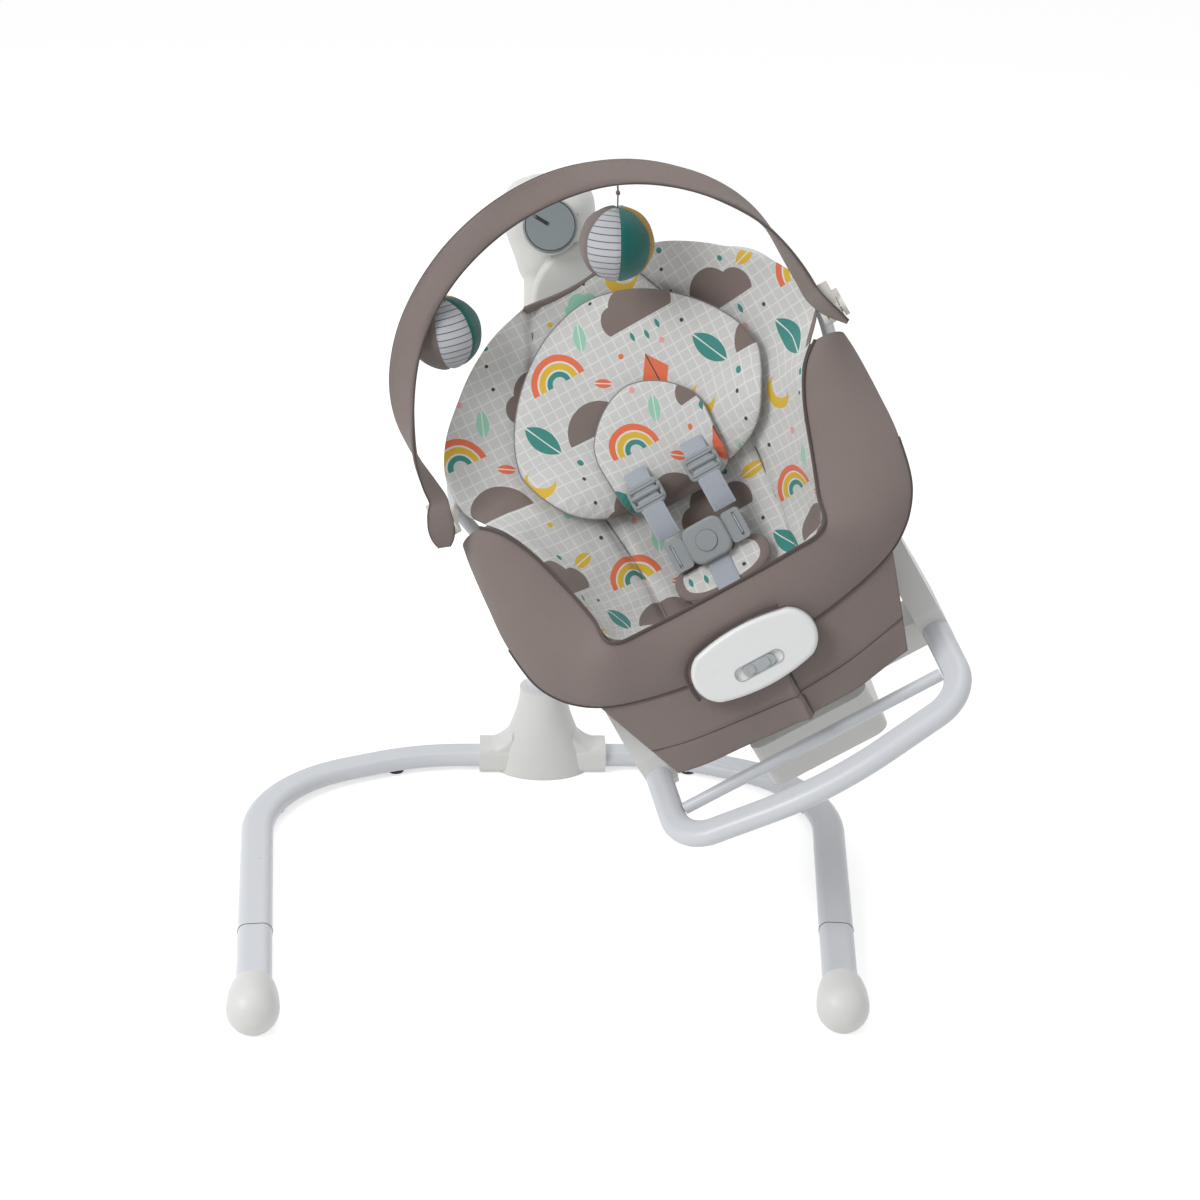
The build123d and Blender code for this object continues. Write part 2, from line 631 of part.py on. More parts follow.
with BuildPart() as arm_root:
    with BuildSketch(Plane.XZ.offset(-ARM_Y + ROOT_THICK / 2)):
        with Locations((0, PIVOT_Z)):
            Circle(ROOT_RADIUS)
        with Locations((0, (PIVOT_Z + ROOT_BOTTOM) / 2)):
            Rectangle(ROOT_WIDTH, PIVOT_Z - ROOT_BOTTOM)
        with Locations((0, PIVOT_Z)):
            Circle(SHAFT_RADIUS + PRESSED, mode=Mode.SUBTRACT)
    extrude(amount=-ROOT_THICK)
    with BuildSketch(Plane.XY.offset(ROOT_BOTTOM)):
        with Locations((0, ARM_Y)):
            Circle(ARM_RADIUS - ARM_WALL - SLIP)
    extrude(amount=-ROOT_SPIGOT)
save_hung(arm_root, "arm_root")

with BuildPart() as arm_shroud:
    with BuildSketch(Plane.XZ.offset(-SHROUD_FRONT)):
        with Locations((0, SHROUD_Z)):
            Circle(SHROUD_RADIUS)
        with BuildLine():
            Polyline((-SHROUD_RADIUS, SHROUD_Z), (SHROUD_RADIUS, SHROUD_Z), (SHROUD_FOOT, SHROUD_BOTTOM),
                     (-SHROUD_FOOT, SHROUD_BOTTOM), close=True)
        make_face()
    extrude(amount=SHROUD_FRONT - SHROUD_BACK)
    fillet(arm_shroud.faces().sort_by(Axis.Y)[0].edges(), 6)
    with Locations((0, (SHROUD_BACK + ARM_Y - ROOT_THICK / 2 - CLEAR) / 2, ROOT_BOTTOM + SHROUD_RADIUS)):
        Box(ROOT_WIDTH + 2 * CLEAR, SHROUD_BACK - ARM_Y + ROOT_THICK / 2 + CLEAR, 2 * SHROUD_RADIUS,
            mode=Mode.SUBTRACT)
    with BuildSketch(Plane.XY.offset(SHROUD_BOTTOM - 1)):
        with Locations((0, ARM_Y)):
            Circle(ARM_RADIUS + CLEAR)
        with Locations((0, ARM_Y + 20)):
            Rectangle(2 * ARM_RADIUS + 2 * CLEAR, 40)
    extrude(amount=ROOT_BOTTOM - SHROUD_BOTTOM + 1 + CLEAR, mode=Mode.SUBTRACT)
save_hung(arm_shroud, "arm_shroud")

with BuildPart() as swing_arm_tube:
    with BuildLine() as arm_path:
        FilletPolyline((0, ARM_Y, ROOT_BOTTOM - SLIP), (0, ARM_Y, ARM_LOW), (0, ARM_END, ARM_LOW),
                       radius=ARM_BEND)
    with BuildSketch(Plane.XY.offset(ROOT_BOTTOM - SLIP)):
        with Locations((0, ARM_Y)):
            Circle(ARM_RADIUS)
            Circle(ARM_RADIUS - ARM_WALL, mode=Mode.SUBTRACT)
    sweep(path=arm_path.wire())
save_hung(swing_arm_tube, "swing_arm_tube")

carrier_mid = (CARRIER_FRONT + CARRIER_BACK) / 2
carrier_long = CARRIER_BACK - CARRIER_FRONT
with BuildPart() as seat_carrier:
    with BuildSketch(Plane.XY.offset(CARRIER_LOW)):
        with Locations((0, carrier_mid)):
            RectangleRounded(2 * CARRIER_HALF, carrier_long, 16)
    extrude(amount=CARRIER_TOP - CARRIER_LOW)
    with BuildSketch(Plane.XY.offset(CARRIER_LOW)):
        with Locations((0, carrier_mid)):
            RectangleRounded(2 * (CARRIER_HALF - CARRIER_WALL), carrier_long - 2 * CARRIER_WALL, 12)
    extrude(amount=CARRIER_TOP - CARRIER_LOW - CARRIER_WALL, mode=Mode.SUBTRACT)
    with BuildSketch(Plane.XZ.offset(-CARRIER_BACK)):
        with Locations((0, ARM_LOW)):
            Circle(ARM_RADIUS + CARRIER_WALL)
        with Locations((0, (ARM_LOW + CARRIER_TOP) / 2)):
            Rectangle(10, CARRIER_TOP - ARM_LOW)
    extrude(amount=CARRIER_BACK - ARM_END + 2)
    with BuildSketch(Plane.XZ.offset(-CARRIER_BACK)):
        with Locations((0, ARM_LOW)):
            Circle(ARM_RADIUS + SLIP)
    extrude(amount=CARRIER_BACK - ARM_END, mode=Mode.SUBTRACT)
    for side, word in SIDES:
        with Locations((side * (LEVER_HALF + 4), LEVER_Y, (LEVER_Z + CARRIER_TOP) / 2 - 4)):
            Box(6, 14, CARRIER_TOP - LEVER_Z + 6)
        with BuildSketch(Plane.YZ.offset(side * LEVER_HALF)):
            with Locations((LEVER_Y, LEVER_Z)):
                Circle(3 + RUNNING)
        extrude(amount=side * 8, mode=Mode.SUBTRACT)
save_hung(seat_carrier, "seat_carrier")

with BuildPart() as release_lever:
    with BuildSketch(Plane.YZ.offset(-LEVER_HALF)):
        with Locations((LEVER_Y - 17, LEVER_Z - 3)):
            SlotOverall(50, 8, rotation=8)
    extrude(amount=2 * LEVER_HALF)
    with BuildSketch(Plane.YZ.offset(-LEVER_HALF)):
        with Locations((LEVER_Y, LEVER_Z)):
            Circle(5)
    extrude(amount=2 * LEVER_HALF)
    with BuildSketch(Plane.YZ.offset(-LEVER_HALF - 7)):
        with Locations((LEVER_Y, LEVER_Z)):
            Circle(3)
    extrude(amount=2 * LEVER_HALF + 14)
save_hung(release_lever, "release_lever")

# rocker seat frame


def toe_z(y):
    """Height of the toe bar's plane, which falls toward the front."""
    return TOE_Z - TOE_SLOPE * (TOE_Y - y)


toe_points = [(TOE_X, TOE_START), TOE_CORNER, (0, TOE_NOSE)]
toe_points += [(-x, y) for x, y in toe_points[1::-1]]
with BuildPart() as toe_bar:
    with BuildLine() as toe_path:
        FilletPolyline(*[(x, y, toe_z(y)) for x, y in toe_points], radius=(TOE_BEND, TOE_SWEEP, TOE_BEND))
    toe_line = toe_path.wire()
    with BuildSketch(Plane(toe_line @ 0, x_dir=(1, 0, 0), z_dir=toe_line % 0)):
        SlotOverall(TOE_WIDTH, TOE_HEIGHT)
        SlotOverall(TOE_WIDTH - 4, TOE_HEIGHT - 4, mode=Mode.SUBTRACT)
    sweep(path=toe_line)
save_hung(toe_bar, "toe_bar")

cross_share = (CROSS_Y - TOE_START) / (TOE_CORNER[1] - TOE_START)
cross_half = toe_points[0][0] + cross_share * (TOE_CORNER[0] - toe_points[0][0]) - TOE_WIDTH / 2 - 1
with BuildPart() as toe_crossbar:
    with BuildSketch(Plane.YZ.offset(-cross_half)):
        with Locations((CROSS_Y, toe_z(CROSS_Y))):
            Circle(CROSS_RADIUS)
    extrude(amount=2 * cross_half)
save_hung(toe_crossbar, "toe_crossbar")

rail_points = [RAIL_START, (RAIL_CORNER, RAIL_BACK, RAIL_Z), (-RAIL_CORNER, RAIL_BACK, RAIL_Z),
               (-RAIL_START[0], RAIL_START[1], RAIL_START[2])]
with BuildPart() as rear_rail:
    with BuildLine() as rail_path:
        FilletPolyline(*rail_points, radius=RAIL_BEND)
    rail_line = rail_path.wire()
    with BuildSketch(Plane(rail_line @ 0, z_dir=rail_line % 0)):
        Circle(RAIL_RADIUS)
        Circle(RAIL_RADIUS - 1.5, mode=Mode.SUBTRACT)
    sweep(path=rail_line)
save_hung(rear_rail, "rear_rail")

hoop_points = list(HOOP_ROUTE) + [(-x, y, z) for x, y, z in HOOP_ROUTE[::-1]]
with BuildPart() as seat_hoop:
    with BuildLine() as hoop_path:
        FilletPolyline(*hoop_points, radius=HOOP_BENDS + HOOP_BENDS[::-1])
    hoop_line = hoop_path.wire()
    with BuildSketch(Plane(hoop_line @ 0, z_dir=hoop_line % 0)):
        Circle(HOOP_RADIUS)
        Circle(HOOP_RADIUS - 1.2, mode=Mode.SUBTRACT)
    sweep(path=hoop_line)
save_hung(seat_hoop, "seat_hoop")

lip_points = list(LIP_ROUTE) + [(0, LIP_Y, LIP_Z)]
lip_points += [(-x, y, z) for x, y, z in LIP_ROUTE[::-1]]
with BuildPart() as lip_tube:
    with BuildLine() as lip_path:
        FilletPolyline(*lip_points, radius=(LIP_BEND, LIP_SWEEP, LIP_BEND))
    lip_line = lip_path.wire()
    with BuildSketch(Plane(lip_line @ 0, z_dir=lip_line % 0)):
        Circle(LIP_RADIUS)
        Circle(LIP_RADIUS - 1.2, mode=Mode.SUBTRACT)
    sweep(path=lip_line)
save_hung(lip_tube, "lip_tube")

for side, word in SIDES:
    with BuildPart() as side_bracket:
        with BuildSketch(Plane.YZ.offset(side * BRACKET_IN)):
            with BuildLine():
                FilletPolyline(*BRACKET_SHAPE, radius=8, close=True)
            make_face()
        extrude(amount=side * (BRACKET_OUT - BRACKET_IN))
        for tube_line, wide, tall, across in ((toe_line, TOE_WIDTH, TOE_HEIGHT, (1, 0, 0)),
                                              (rail_line, 2 * RAIL_RADIUS, 2 * RAIL_RADIUS, (1, 0, 0)),
                                              (hoop_line, 2 * HOOP_RADIUS, 2 * HOOP_RADIUS, (1, 0, 0)),
                                              (lip_line, 2 * LIP_RADIUS, 2 * LIP_RADIUS, (1, 0, 0))):
            end = 0 if (tube_line @ 0).X * side > 0 else 1
            inward = tube_line % end if end == 0 else -(tube_line % end)
            with BuildSketch(Plane(tube_line @ end, x_dir=across, z_dir=inward)):
                if wide == tall:
                    Circle(wide / 2 + SLIP)
                else:
                    SlotOverall(wide + 2 * SLIP, tall + 2 * SLIP)
            extrude(amount=BRACKET_BORE, mode=Mode.SUBTRACT)
    save_hung(side_bracket, f"side_bracket_{word}")

with BuildPart() as seat_base:
    with BuildSketch(Plane.XY.offset(SEAT_GAP)):
        with Locations((0, BASE_Y)):
            RectangleRounded(2 * (BRACKET_IN - SLIP), BASE_DEEP, BASE_WALL)
    extrude(amount=BASE_TALL)
    with BuildSketch(Plane.XY.offset(SEAT_GAP + BASE_WALL)):
        with Locations((0, BASE_Y)):
            Rectangle(2 * (BRACKET_IN - BASE_BLOCK), BASE_DEEP - 2 * BASE_WALL)
    extrude(amount=BASE_TALL, mode=Mode.SUBTRACT)
save_hung(seat_base, "seat_base")

# padded seat
with BuildPart() as seat_liner:
    for row in range(len(LINER_ROWS)):
        row_plane = liner_plane(row)
        (mid_y, mid_z), (edge_x, edge_y, edge_z) = LINER_ROWS[row]
        with BuildSketch(row_plane):
            crescent(edge_x, hypot(edge_y - mid_y, edge_z - mid_z), 0, -LINER_THICK)
    loft()
save_hung(seat_liner, "seat_liner")

with BuildPart() as head_pillow:
    for row, half in enumerate(PILLOW_HALF):
        if half:
            with BuildSketch(liner_plane(row)):
                crescent(half, liner_rise(row, half) + 2.5 * SOFT_GAP, PILLOW_THICK, SOFT_GAP / 3)
    loft()
save_hung(head_pillow, "head_pillow")

with BuildPart() as body_support:
    for row, half in enumerate(SUPPORT_HALF):
        if half:
            pillow_edge = liner_rise(row, PILLOW_HALF[row]) + 2.5 * SOFT_GAP
            edge_share = (half / PILLOW_HALF[row]) ** 2
            edge_lift = PILLOW_THICK + (pillow_edge - PILLOW_THICK) * edge_share + SOFT_GAP
            with BuildSketch(liner_plane(row)):
                crescent(half, edge_lift, PILLOW_THICK + SUPPORT_THICK, PILLOW_THICK + SOFT_GAP / 2)
    loft()
save_hung(body_support, "body_support")

bolster_rows = [((-a[0], a[1], a[2]), (-b[0], b[1], b[2]), crown) for a, b, crown in BOLSTER_ROWS[:0:-1]]
bolster_rows += list(BOLSTER_ROWS)
bolster_mids = [(Vector(*a) + Vector(*b)) / 2 for a, b, crown in bolster_rows]
with BuildPart() as front_bolster:
    for row, (inner, outer, crown) in enumerate(bolster_rows):
        across = toward(inner, outer)
        half = (Vector(*outer) - Vector(*inner)).length / 2 - BOLSTER_GAP / 2
        along = bolster_mids[min(row + 1, len(bolster_mids) - 1)] - bolster_mids[max(row - 1, 0)]
        along = along - across * along.dot(across)
        with BuildSketch(Plane(bolster_mids[row] + across * BOLSTER_GAP / 2, x_dir=across, z_dir=along)):
            crescent(half, 0, -crown, BOLSTER_DEPTH)
    loft()
save_hung(front_bolster, "front_bolster")

with BuildPart() as front_skirt:
    for level, half, edge, front in SKIRT_ROWS:
        with BuildSketch(Plane.XY.offset(level)):
            crescent(half, edge, front, front + SKIRT_THICK)
    loft()
    with BuildSketch(Plane.XZ.offset(-PANEL_Y - 30)):
        with Locations((-PANEL_SCREW_X, PANEL_SCREW_Z), (PANEL_SCREW_X, PANEL_SCREW_Z)):
            Circle(SCREW_RADIUS + CLEAR)
    extrude(amount=60, both=True, mode=Mode.SUBTRACT)
save_hung(front_skirt, "front_skirt")

back_way = toward((0,) + LINER_ROWS[0][0], (0,) + LINER_ROWS[6][0])
back_out = Vector(0, back_way.Z, -back_way.Y)


def back_plane(down, lift):
    """A plane on the line of the back: X across, Y up the back, Z toward the front."""
    start = Vector(0, *LINER_ROWS[0][0]) + back_way * down + back_out * lift
    return Plane(start, x_dir=(1, 0, 0), z_dir=back_out)


# harness
crotch_top = back_plane(BUCKLE_DOWN + CROTCH_ROWS[0][0], CROTCH_ROWS[0][1]).origin
crotch_end = back_plane(BUCKLE_DOWN + CROTCH_ROWS[-1][0], CROTCH_ROWS[-1][1]).origin
crotch_way = (crotch_end - crotch_top).normalized()
crotch_out = Vector(0, crotch_way.Z, -crotch_way.Y)
with BuildPart() as crotch_pad:
    for below, lift, half in CROTCH_ROWS:
        row_middle = back_plane(BUCKLE_DOWN + below, lift).origin
        with BuildSketch(Plane(row_middle, x_dir=(1, 0, 0), z_dir=crotch_way)):
            crescent(half, 0, 5, -6)
    loft()
save_hung(crotch_pad, "crotch_pad")

strap_end = BUCKLE_DOWN - BUCKLE_HEIGHT / 2 - CLEAR
with BuildPart() as shoulder_straps:
    for side, word in SIDES:
        with BuildSketch(back_plane((STRAP_TOP + strap_end) / 2, HARNESS_LIFT)):
            with Locations((side * STRAP_X, 0)):
                Rectangle(WEB_WIDTH, strap_end - STRAP_TOP)
        extrude(amount=WEB_THICK)
        with BuildSketch(Plane(back_plane(strap_end, HARNESS_LIFT - 2).origin, z_dir=(1, 0, 0))):
            Circle(STRAP_ROLL)
        extrude(amount=WEB_WIDTH / 2 + STRAP_X, both=True)
    with BuildSketch(back_plane(strap_end, HARNESS_LIFT - 2 - 2 * STRAP_ROLL)):
        Rectangle(2 * STRAP_X - WEB_WIDTH, 4 * STRAP_ROLL)
    extrude(amount=8 * STRAP_ROLL, mode=Mode.SUBTRACT)
save_hung(shoulder_straps, "shoulder_straps")

with BuildPart() as strap_adjusters:
    with BuildSketch(back_plane(ADJUSTER_DOWN, HARNESS_LIFT - 7.3)):
        with Locations((-STRAP_X, 0), (STRAP_X, 0)):
            RectangleRounded(WEB_WIDTH + 10, 24, 4)
    extrude(amount=WEB_THICK + 11)
    slot_middle = back_plane(ADJUSTER_DOWN, HARNESS_LIFT + WEB_THICK / 2).origin
    with BuildSketch(Plane(slot_middle, x_dir=(1, 0, 0), z_dir=back_way)):
        with Locations((-STRAP_X, 0), (STRAP_X, 0)):
            Rectangle(WEB_WIDTH + 2 * SLIP, WEB_THICK + 2 * SLIP)
    extrude(amount=20, both=True, mode=Mode.SUBTRACT)
save_hung(strap_adjusters, "strap_adjusters")

buckle_plane = back_plane(BUCKLE_DOWN, HARNESS_LIFT - 8)
with BuildPart() as buckle_body:
    with BuildSketch(buckle_plane):
        RectangleRounded(BUCKLE_WIDTH, BUCKLE_HEIGHT, 12)
    extrude(amount=BUCKLE_THICK)
    fillet(buckle_body.faces().sort_by(Axis((0, 0, 0), back_out))[-1].edges(), 3)
    with BuildSketch(buckle_plane.offset(4)):
        Circle(BUTTON_RADIUS + CLEAR)
    extrude(amount=BUCKLE_THICK, mode=Mode.SUBTRACT)
save_hung(buckle_body, "buckle_body")

with BuildPart() as buckle_button:
    with BuildSketch(buckle_plane.offset(4 + BUTTON_TRAVEL + CLEAR)):
        Circle(BUTTON_RADIUS)
    extrude(amount=BUCKLE_THICK - 4 - BUTTON_TRAVEL + 1)
save_hung(buckle_button, "buckle_button")

with BuildPart() as buckle_tongues:
    for side, word in SIDES:
        with BuildSketch(buckle_plane.offset(2)):
            with Locations((side * (BUCKLE_WIDTH / 2 + 10 + SLIP), 0)):
                RectangleRounded(20, 34, 4)
            with Locations((side * (BUCKLE_WIDTH / 2 + 13), 0)):
                Rectangle(WEB_THICK + 2 * CLEAR, 26, mode=Mode.SUBTRACT)
        extrude(amount=7)
save_hung(buckle_tongues, "buckle_tongues")

waist_x = BUCKLE_WIDTH / 2 + 13
with BuildPart() as waist_straps:
    for side, word in SIDES:
        with BuildSketch(Plane(back_plane(BUCKLE_DOWN - 11, 0).origin, x_dir=(1, 0, 0), z_dir=back_way)):
            with BuildLine():
                Polyline((side * (waist_x - WEB_THICK / 2), HARNESS_LIFT - 1),
                         (side * (waist_x + WEB_THICK / 2), HARNESS_LIFT - 1),
                         (side * (waist_x + WEB_THICK / 2), WAIST_LOW),
                         (side * (waist_x - WEB_THICK / 2), WAIST_LOW), close=True)
            make_face()
        extrude(amount=22)
save_hung(waist_straps, "waist_straps")

with BuildPart() as crotch_strap:
    strap_top = back_plane(BUCKLE_DOWN + BUCKLE_HEIGHT / 2 + SLIP, 35.5).origin
    strap_middle = strap_top + crotch_out * (6 + CLEAR) + crotch_way * 24
    with BuildSketch(Plane(strap_middle, x_dir=(1, 0, 0), z_dir=crotch_out)):
        Rectangle(WEB_WIDTH, 36)
    extrude(amount=WEB_THICK)
save_hung(crotch_strap, "crotch_strap")

# vibration unit behind the front band
panel_way = Vector(0, -cos(radians(PANEL_TILT)), sin(radians(PANEL_TILT)))
panel_plane = Plane((0, PANEL_Y, PANEL_Z), x_dir=(1, 0, 0), z_dir=panel_way)
with BuildPart() as control_panel:
    with BuildSketch(panel_plane):
        end_x = PANEL_WIDTH / 2 - 16
        end_y = PANEL_HEIGHT / 2 - 7
        with BuildLine():
            ThreePointArc((-end_x, end_y), (0, PANEL_HEIGHT / 2), (end_x, end_y))
            ThreePointArc((end_x, end_y), (PANEL_WIDTH / 2, 0), (end_x, -end_y))
            ThreePointArc((end_x, -end_y), (0, -PANEL_HEIGHT / 2), (-end_x, -end_y))
            ThreePointArc((-end_x, -end_y), (-PANEL_WIDTH / 2, 0), (-end_x, end_y))
        make_face()
    extrude(amount=PANEL_THICK)
    fillet(control_panel.faces().sort_by(Axis((0, 0, 0), panel_way))[-1].edges(), 5)
    with BuildSketch(panel_plane.offset(PANEL_THICK - 4)):
        with Locations((0, -10)):
            SlotOverall(SWITCH_WIDTH + 2 * SWITCH_TRAVEL + 2 * CLEAR, SWITCH_HEIGHT + 2 * CLEAR)
    extrude(amount=10, mode=Mode.SUBTRACT)
    with BuildSketch(Plane.XZ.offset(-PANEL_Y)):
        with Locations((-PANEL_SCREW_X, PANEL_SCREW_Z), (PANEL_SCREW_X, PANEL_SCREW_Z)):
            Circle(SCREW_RADIUS + SLIP)
    extrude(amount=3, both=True, mode=Mode.SUBTRACT)
save_hung(control_panel, "control_panel")

with BuildPart() as slide_switch:
    with BuildSketch(panel_plane.offset(PANEL_THICK - 4 + CLEAR)):
        with Locations((0, -10)):
            SlotOverall(SWITCH_WIDTH, SWITCH_HEIGHT)
    extrude(amount=4)
    with BuildSketch(panel_plane.offset(PANEL_THICK)):
        with Locations((-8, -10), (8, -10)):
            RectangleRounded(6, 8, 2)
    extrude(amount=2)
save_hung(slide_switch, "slide_switch")

housing_mid = (HOUSING_FRONT + HOUSING_BACK) / 2
housing_z = (HOUSING_LOW + HOUSING_TOP) / 2
with BuildPart() as vibration_housing:
    with BuildSketch(Plane.XY.offset(HOUSING_LOW)):
        with Locations((0, housing_mid)):
            RectangleRounded(2 * HOUSING_HALF, HOUSING_BACK - HOUSING_FRONT, 6)
    extrude(amount=HOUSING_TOP - HOUSING_LOW)
    with BuildSketch(Plane.XY.offset(HOUSING_LOW)):
        with Locations((0, housing_mid)):
            RectangleRounded(2 * (HOUSING_HALF - HOUSING_WALL),
                             HOUSING_BACK - HOUSING_FRONT - 2 * HOUSING_WALL, 4)
    extrude(amount=HOUSING_TOP - HOUSING_LOW - HOUSING_WALL, mode=Mode.SUBTRACT)
    with Locations((27, housing_mid, housing_z + SHAKER_RADIUS + CLEAR + 10)):
        Box(14, 10, 20)
    with Locations((0, LIP_Y, (HOUSING_TOP + LIP_Z - LIP_RADIUS - CLEAR) / 2)):
        Box(30, 8, LIP_Z - LIP_RADIUS - CLEAR - HOUSING_TOP)
    with BuildSketch(Plane.XZ.offset(-HOUSING_FRONT)):
        with Locations((-PANEL_SCREW_X, PANEL_SCREW_Z), (PANEL_SCREW_X, PANEL_SCREW_Z)):
            Circle(SCREW_RADIUS + SLIP)
    extrude(amount=-HOUSING_WALL, mode=Mode.SUBTRACT)
save_hung(vibration_housing, "vibration_housing")

with BuildPart() as panel_screws:
    with BuildSketch(Plane.XZ.offset(-HOUSING_FRONT - HOUSING_WALL)):
        with Locations((-PANEL_SCREW_X, PANEL_SCREW_Z), (PANEL_SCREW_X, PANEL_SCREW_Z)):
            Circle(SCREW_RADIUS)
    extrude(amount=HOUSING_FRONT + HOUSING_WALL - PANEL_Y + 4)
save_hung(panel_screws, "panel_screws")

with BuildPart() as battery_door:
    with BuildSketch(Plane.XY.offset(HOUSING_LOW - 3)):
        with Locations((0, housing_mid)):
            RectangleRounded(2 * HOUSING_HALF, HOUSING_BACK - HOUSING_FRONT, 6)
    extrude(amount=3)
    with Locations((-34, housing_mid, HOUSING_LOW), (6, housing_mid, HOUSING_LOW)):
        Box(4, 12, 2 * (housing_z - CELL_RADIUS - CLEAR - HOUSING_LOW))
    with Locations((0, housing_mid, HOUSING_LOW - 13)):
        Box(200, 200, 20, mode=Mode.SUBTRACT)
save_hung(battery_door, "battery_door")

with BuildPart() as battery_cell:
    with BuildSketch(Plane.YZ.offset(HOUSING_WALL + 1.8 - HOUSING_HALF)):
        with Locations((housing_mid, housing_z)):
            Circle(CELL_RADIUS)
    extrude(amount=CELL_LENGTH - 2)
    with BuildSketch(Plane.YZ.offset(HOUSING_WALL + 1.8 - HOUSING_HALF + CELL_LENGTH - 2)):
        with Locations((housing_mid, housing_z)):
            Circle(4)
    extrude(amount=2)
save_hung(battery_cell, "battery_cell")

with BuildPart() as vibration_motor:
    with BuildSketch(Plane.YZ.offset(18)):
        with Locations((housing_mid, housing_z)):
            Circle(SHAKER_RADIUS)
    extrude(amount=16)
    with BuildSketch(Plane.YZ.offset(28)):
        with Locations((housing_mid, housing_z)):
            Circle(1.2 + RUNNING)
    extrude(amount=10, mode=Mode.SUBTRACT)
save_hung(vibration_motor, "vibration_motor")

with BuildPart() as eccentric_weight:
    with BuildSketch(Plane.YZ.offset(36)):
        with Locations((housing_mid, housing_z)):
            Circle(11)
        with Locations((housing_mid, housing_z + 9)):
            Rectangle(24, 12, mode=Mode.SUBTRACT)
    extrude(amount=6)
    with BuildSketch(Plane.YZ.offset(29)):
        with Locations((housing_mid, housing_z)):
            Circle(1.2)
    extrude(amount=13)
save_hung(eccentric_weight, "eccentric_weight")

# toy bar
bar_up = Vector(0, sin(radians(BAR_LEAN)), cos(radians(BAR_LEAN)))
bar_plane = Plane((0, BAR_Y, BAR_Z), x_dir=(1, 0, 0), z_dir=(0, -bar_up.Z, bar_up.Y))
eye_y = BAR_Y - bar_up.Y * BAR_LEG
eye_z = BAR_Z - bar_up.Z * BAR_LEG
leg_taper = BAR_LEG - EYE_RADIUS - 6
with BuildPart() as toy_bar:
    with BuildSketch(bar_plane.offset(-BAR_THICK / 2)):
        Circle(BAR_RADIUS + BAR_WIDTH / 2)
        Circle(BAR_RADIUS - BAR_WIDTH / 2, mode=Mode.SUBTRACT)
        with Locations((0, -BAR_RADIUS)):
            Rectangle(4 * BAR_RADIUS, 2 * BAR_RADIUS, mode=Mode.SUBTRACT)
        with BuildLine():
            Polyline((BAR_RADIUS - BAR_WIDTH / 2, 0), (BAR_RADIUS + BAR_WIDTH / 2, 0), (EYE_OUT, -leg_taper),
                     (EYE_OUT, -BAR_LEG), (EYE_IN, -BAR_LEG), (EYE_IN, -leg_taper), close=True)
        make_face()
        with BuildLine():
            Polyline((-BAR_RADIUS + BAR_WIDTH / 2, 0), (-BAR_RADIUS - BAR_WIDTH / 2, 0),
                     (-EYE_OUT, -leg_taper), (-EYE_OUT, -BAR_LEG), (-EYE_IN, -BAR_LEG),
                     (-EYE_IN, -leg_taper), close=True)
        make_face()
    extrude(amount=BAR_THICK)
    for side, word in SIDES:
        with BuildSketch(Plane.YZ.offset(side * EYE_IN)):
            with Locations((eye_y, eye_z)):
                Circle(EYE_RADIUS)
        extrude(amount=side * (EYE_OUT - EYE_IN))
    with BuildSketch(Plane.YZ):
        with Locations((eye_y, eye_z)):
            Circle(PIN_RADIUS + RUNNING)
    extrude(amount=EYE_OUT + 1, both=True, mode=Mode.SUBTRACT)
save_hung(toy_bar, "toy_bar")

with BuildPart() as toy_clips:
    for side, word in SIDES:
        clip_in = EYE_IN - CLEAR - EAR_THICK
        clip_out = EYE_OUT + CLEAR + EAR_THICK
        with BuildSketch(Plane.YZ.offset(side * clip_in)):
            with Locations((eye_y, eye_z)):
                Circle(EYE_RADIUS)
            with Locations(((eye_y + CLIP_BACK) / 2, eye_z + 3)):
                Rectangle(CLIP_BACK - eye_y, 2 * EYE_RADIUS - 6)
        extrude(amount=side * (clip_out - clip_in))
        with BuildSketch(Plane.YZ.offset(side * (EYE_IN - CLEAR))):
            with Locations((eye_y, eye_z)):
                Circle(EYE_RADIUS + BAR_LEG / 2 - 3)
        extrude(amount=side * (EYE_OUT - EYE_IN + 2 * CLEAR), mode=Mode.SUBTRACT)
        with BuildSketch(Plane.YZ.offset(side * clip_in)):
            with Locations((eye_y, eye_z)):
                Circle(PIN_RADIUS)
        extrude(amount=side * (clip_out - clip_in))
save_hung(toy_clips, "toy_clips")


def bar_point(angle, radius, lift):
    """A point on the toy bar, by its angle from the top, in the place it has on the sway."""
    turn = radians(angle)
    spot = bar_plane.origin + Vector(radius * sin(turn), 0, 0) + bar_up * (radius * cos(turn))
    spot = spot + bar_plane.z_dir * lift
    return Vector(*swayed(spot.X, spot.Y, spot.Z))


def draw_ball(hang, centre):
    """Makes a gored ball on its cord, which is knotted round a bead at the bar."""
    cord_way = (centre - hang).normalized()
    with BuildSketch(Plane(hang, z_dir=(0, 1, 0))) as bead:
        Circle(BEAD_RADIUS)
    extrude(bead.sketch, amount=BEAD_HALF, both=True)
    with BuildSketch(Plane(hang, z_dir=cord_way)) as cord:
        Circle(CORD_RADIUS)
    extrude(cord.sketch, amount=(centre - hang).length)
    with Locations(centre):
        Sphere(BALL_RADIUS)


hang_1 = bar_point(BALL_1_ANGLE, BAR_RADIUS - BAR_WIDTH / 2 - BEAD_RADIUS - 3 * CLEAR, 0)
hang_2 = bar_point(BALL_2_ANGLE, BAR_RADIUS, -BAR_THICK / 2 - BEAD_HALF - 4 * CLEAR)
with BuildPart() as toy_ball_1:
    draw_ball(hang_1, hang_1 - Vector(0, 0, BALL_1_STRING + BALL_RADIUS))
save(toy_ball_1, "toy_ball_1")

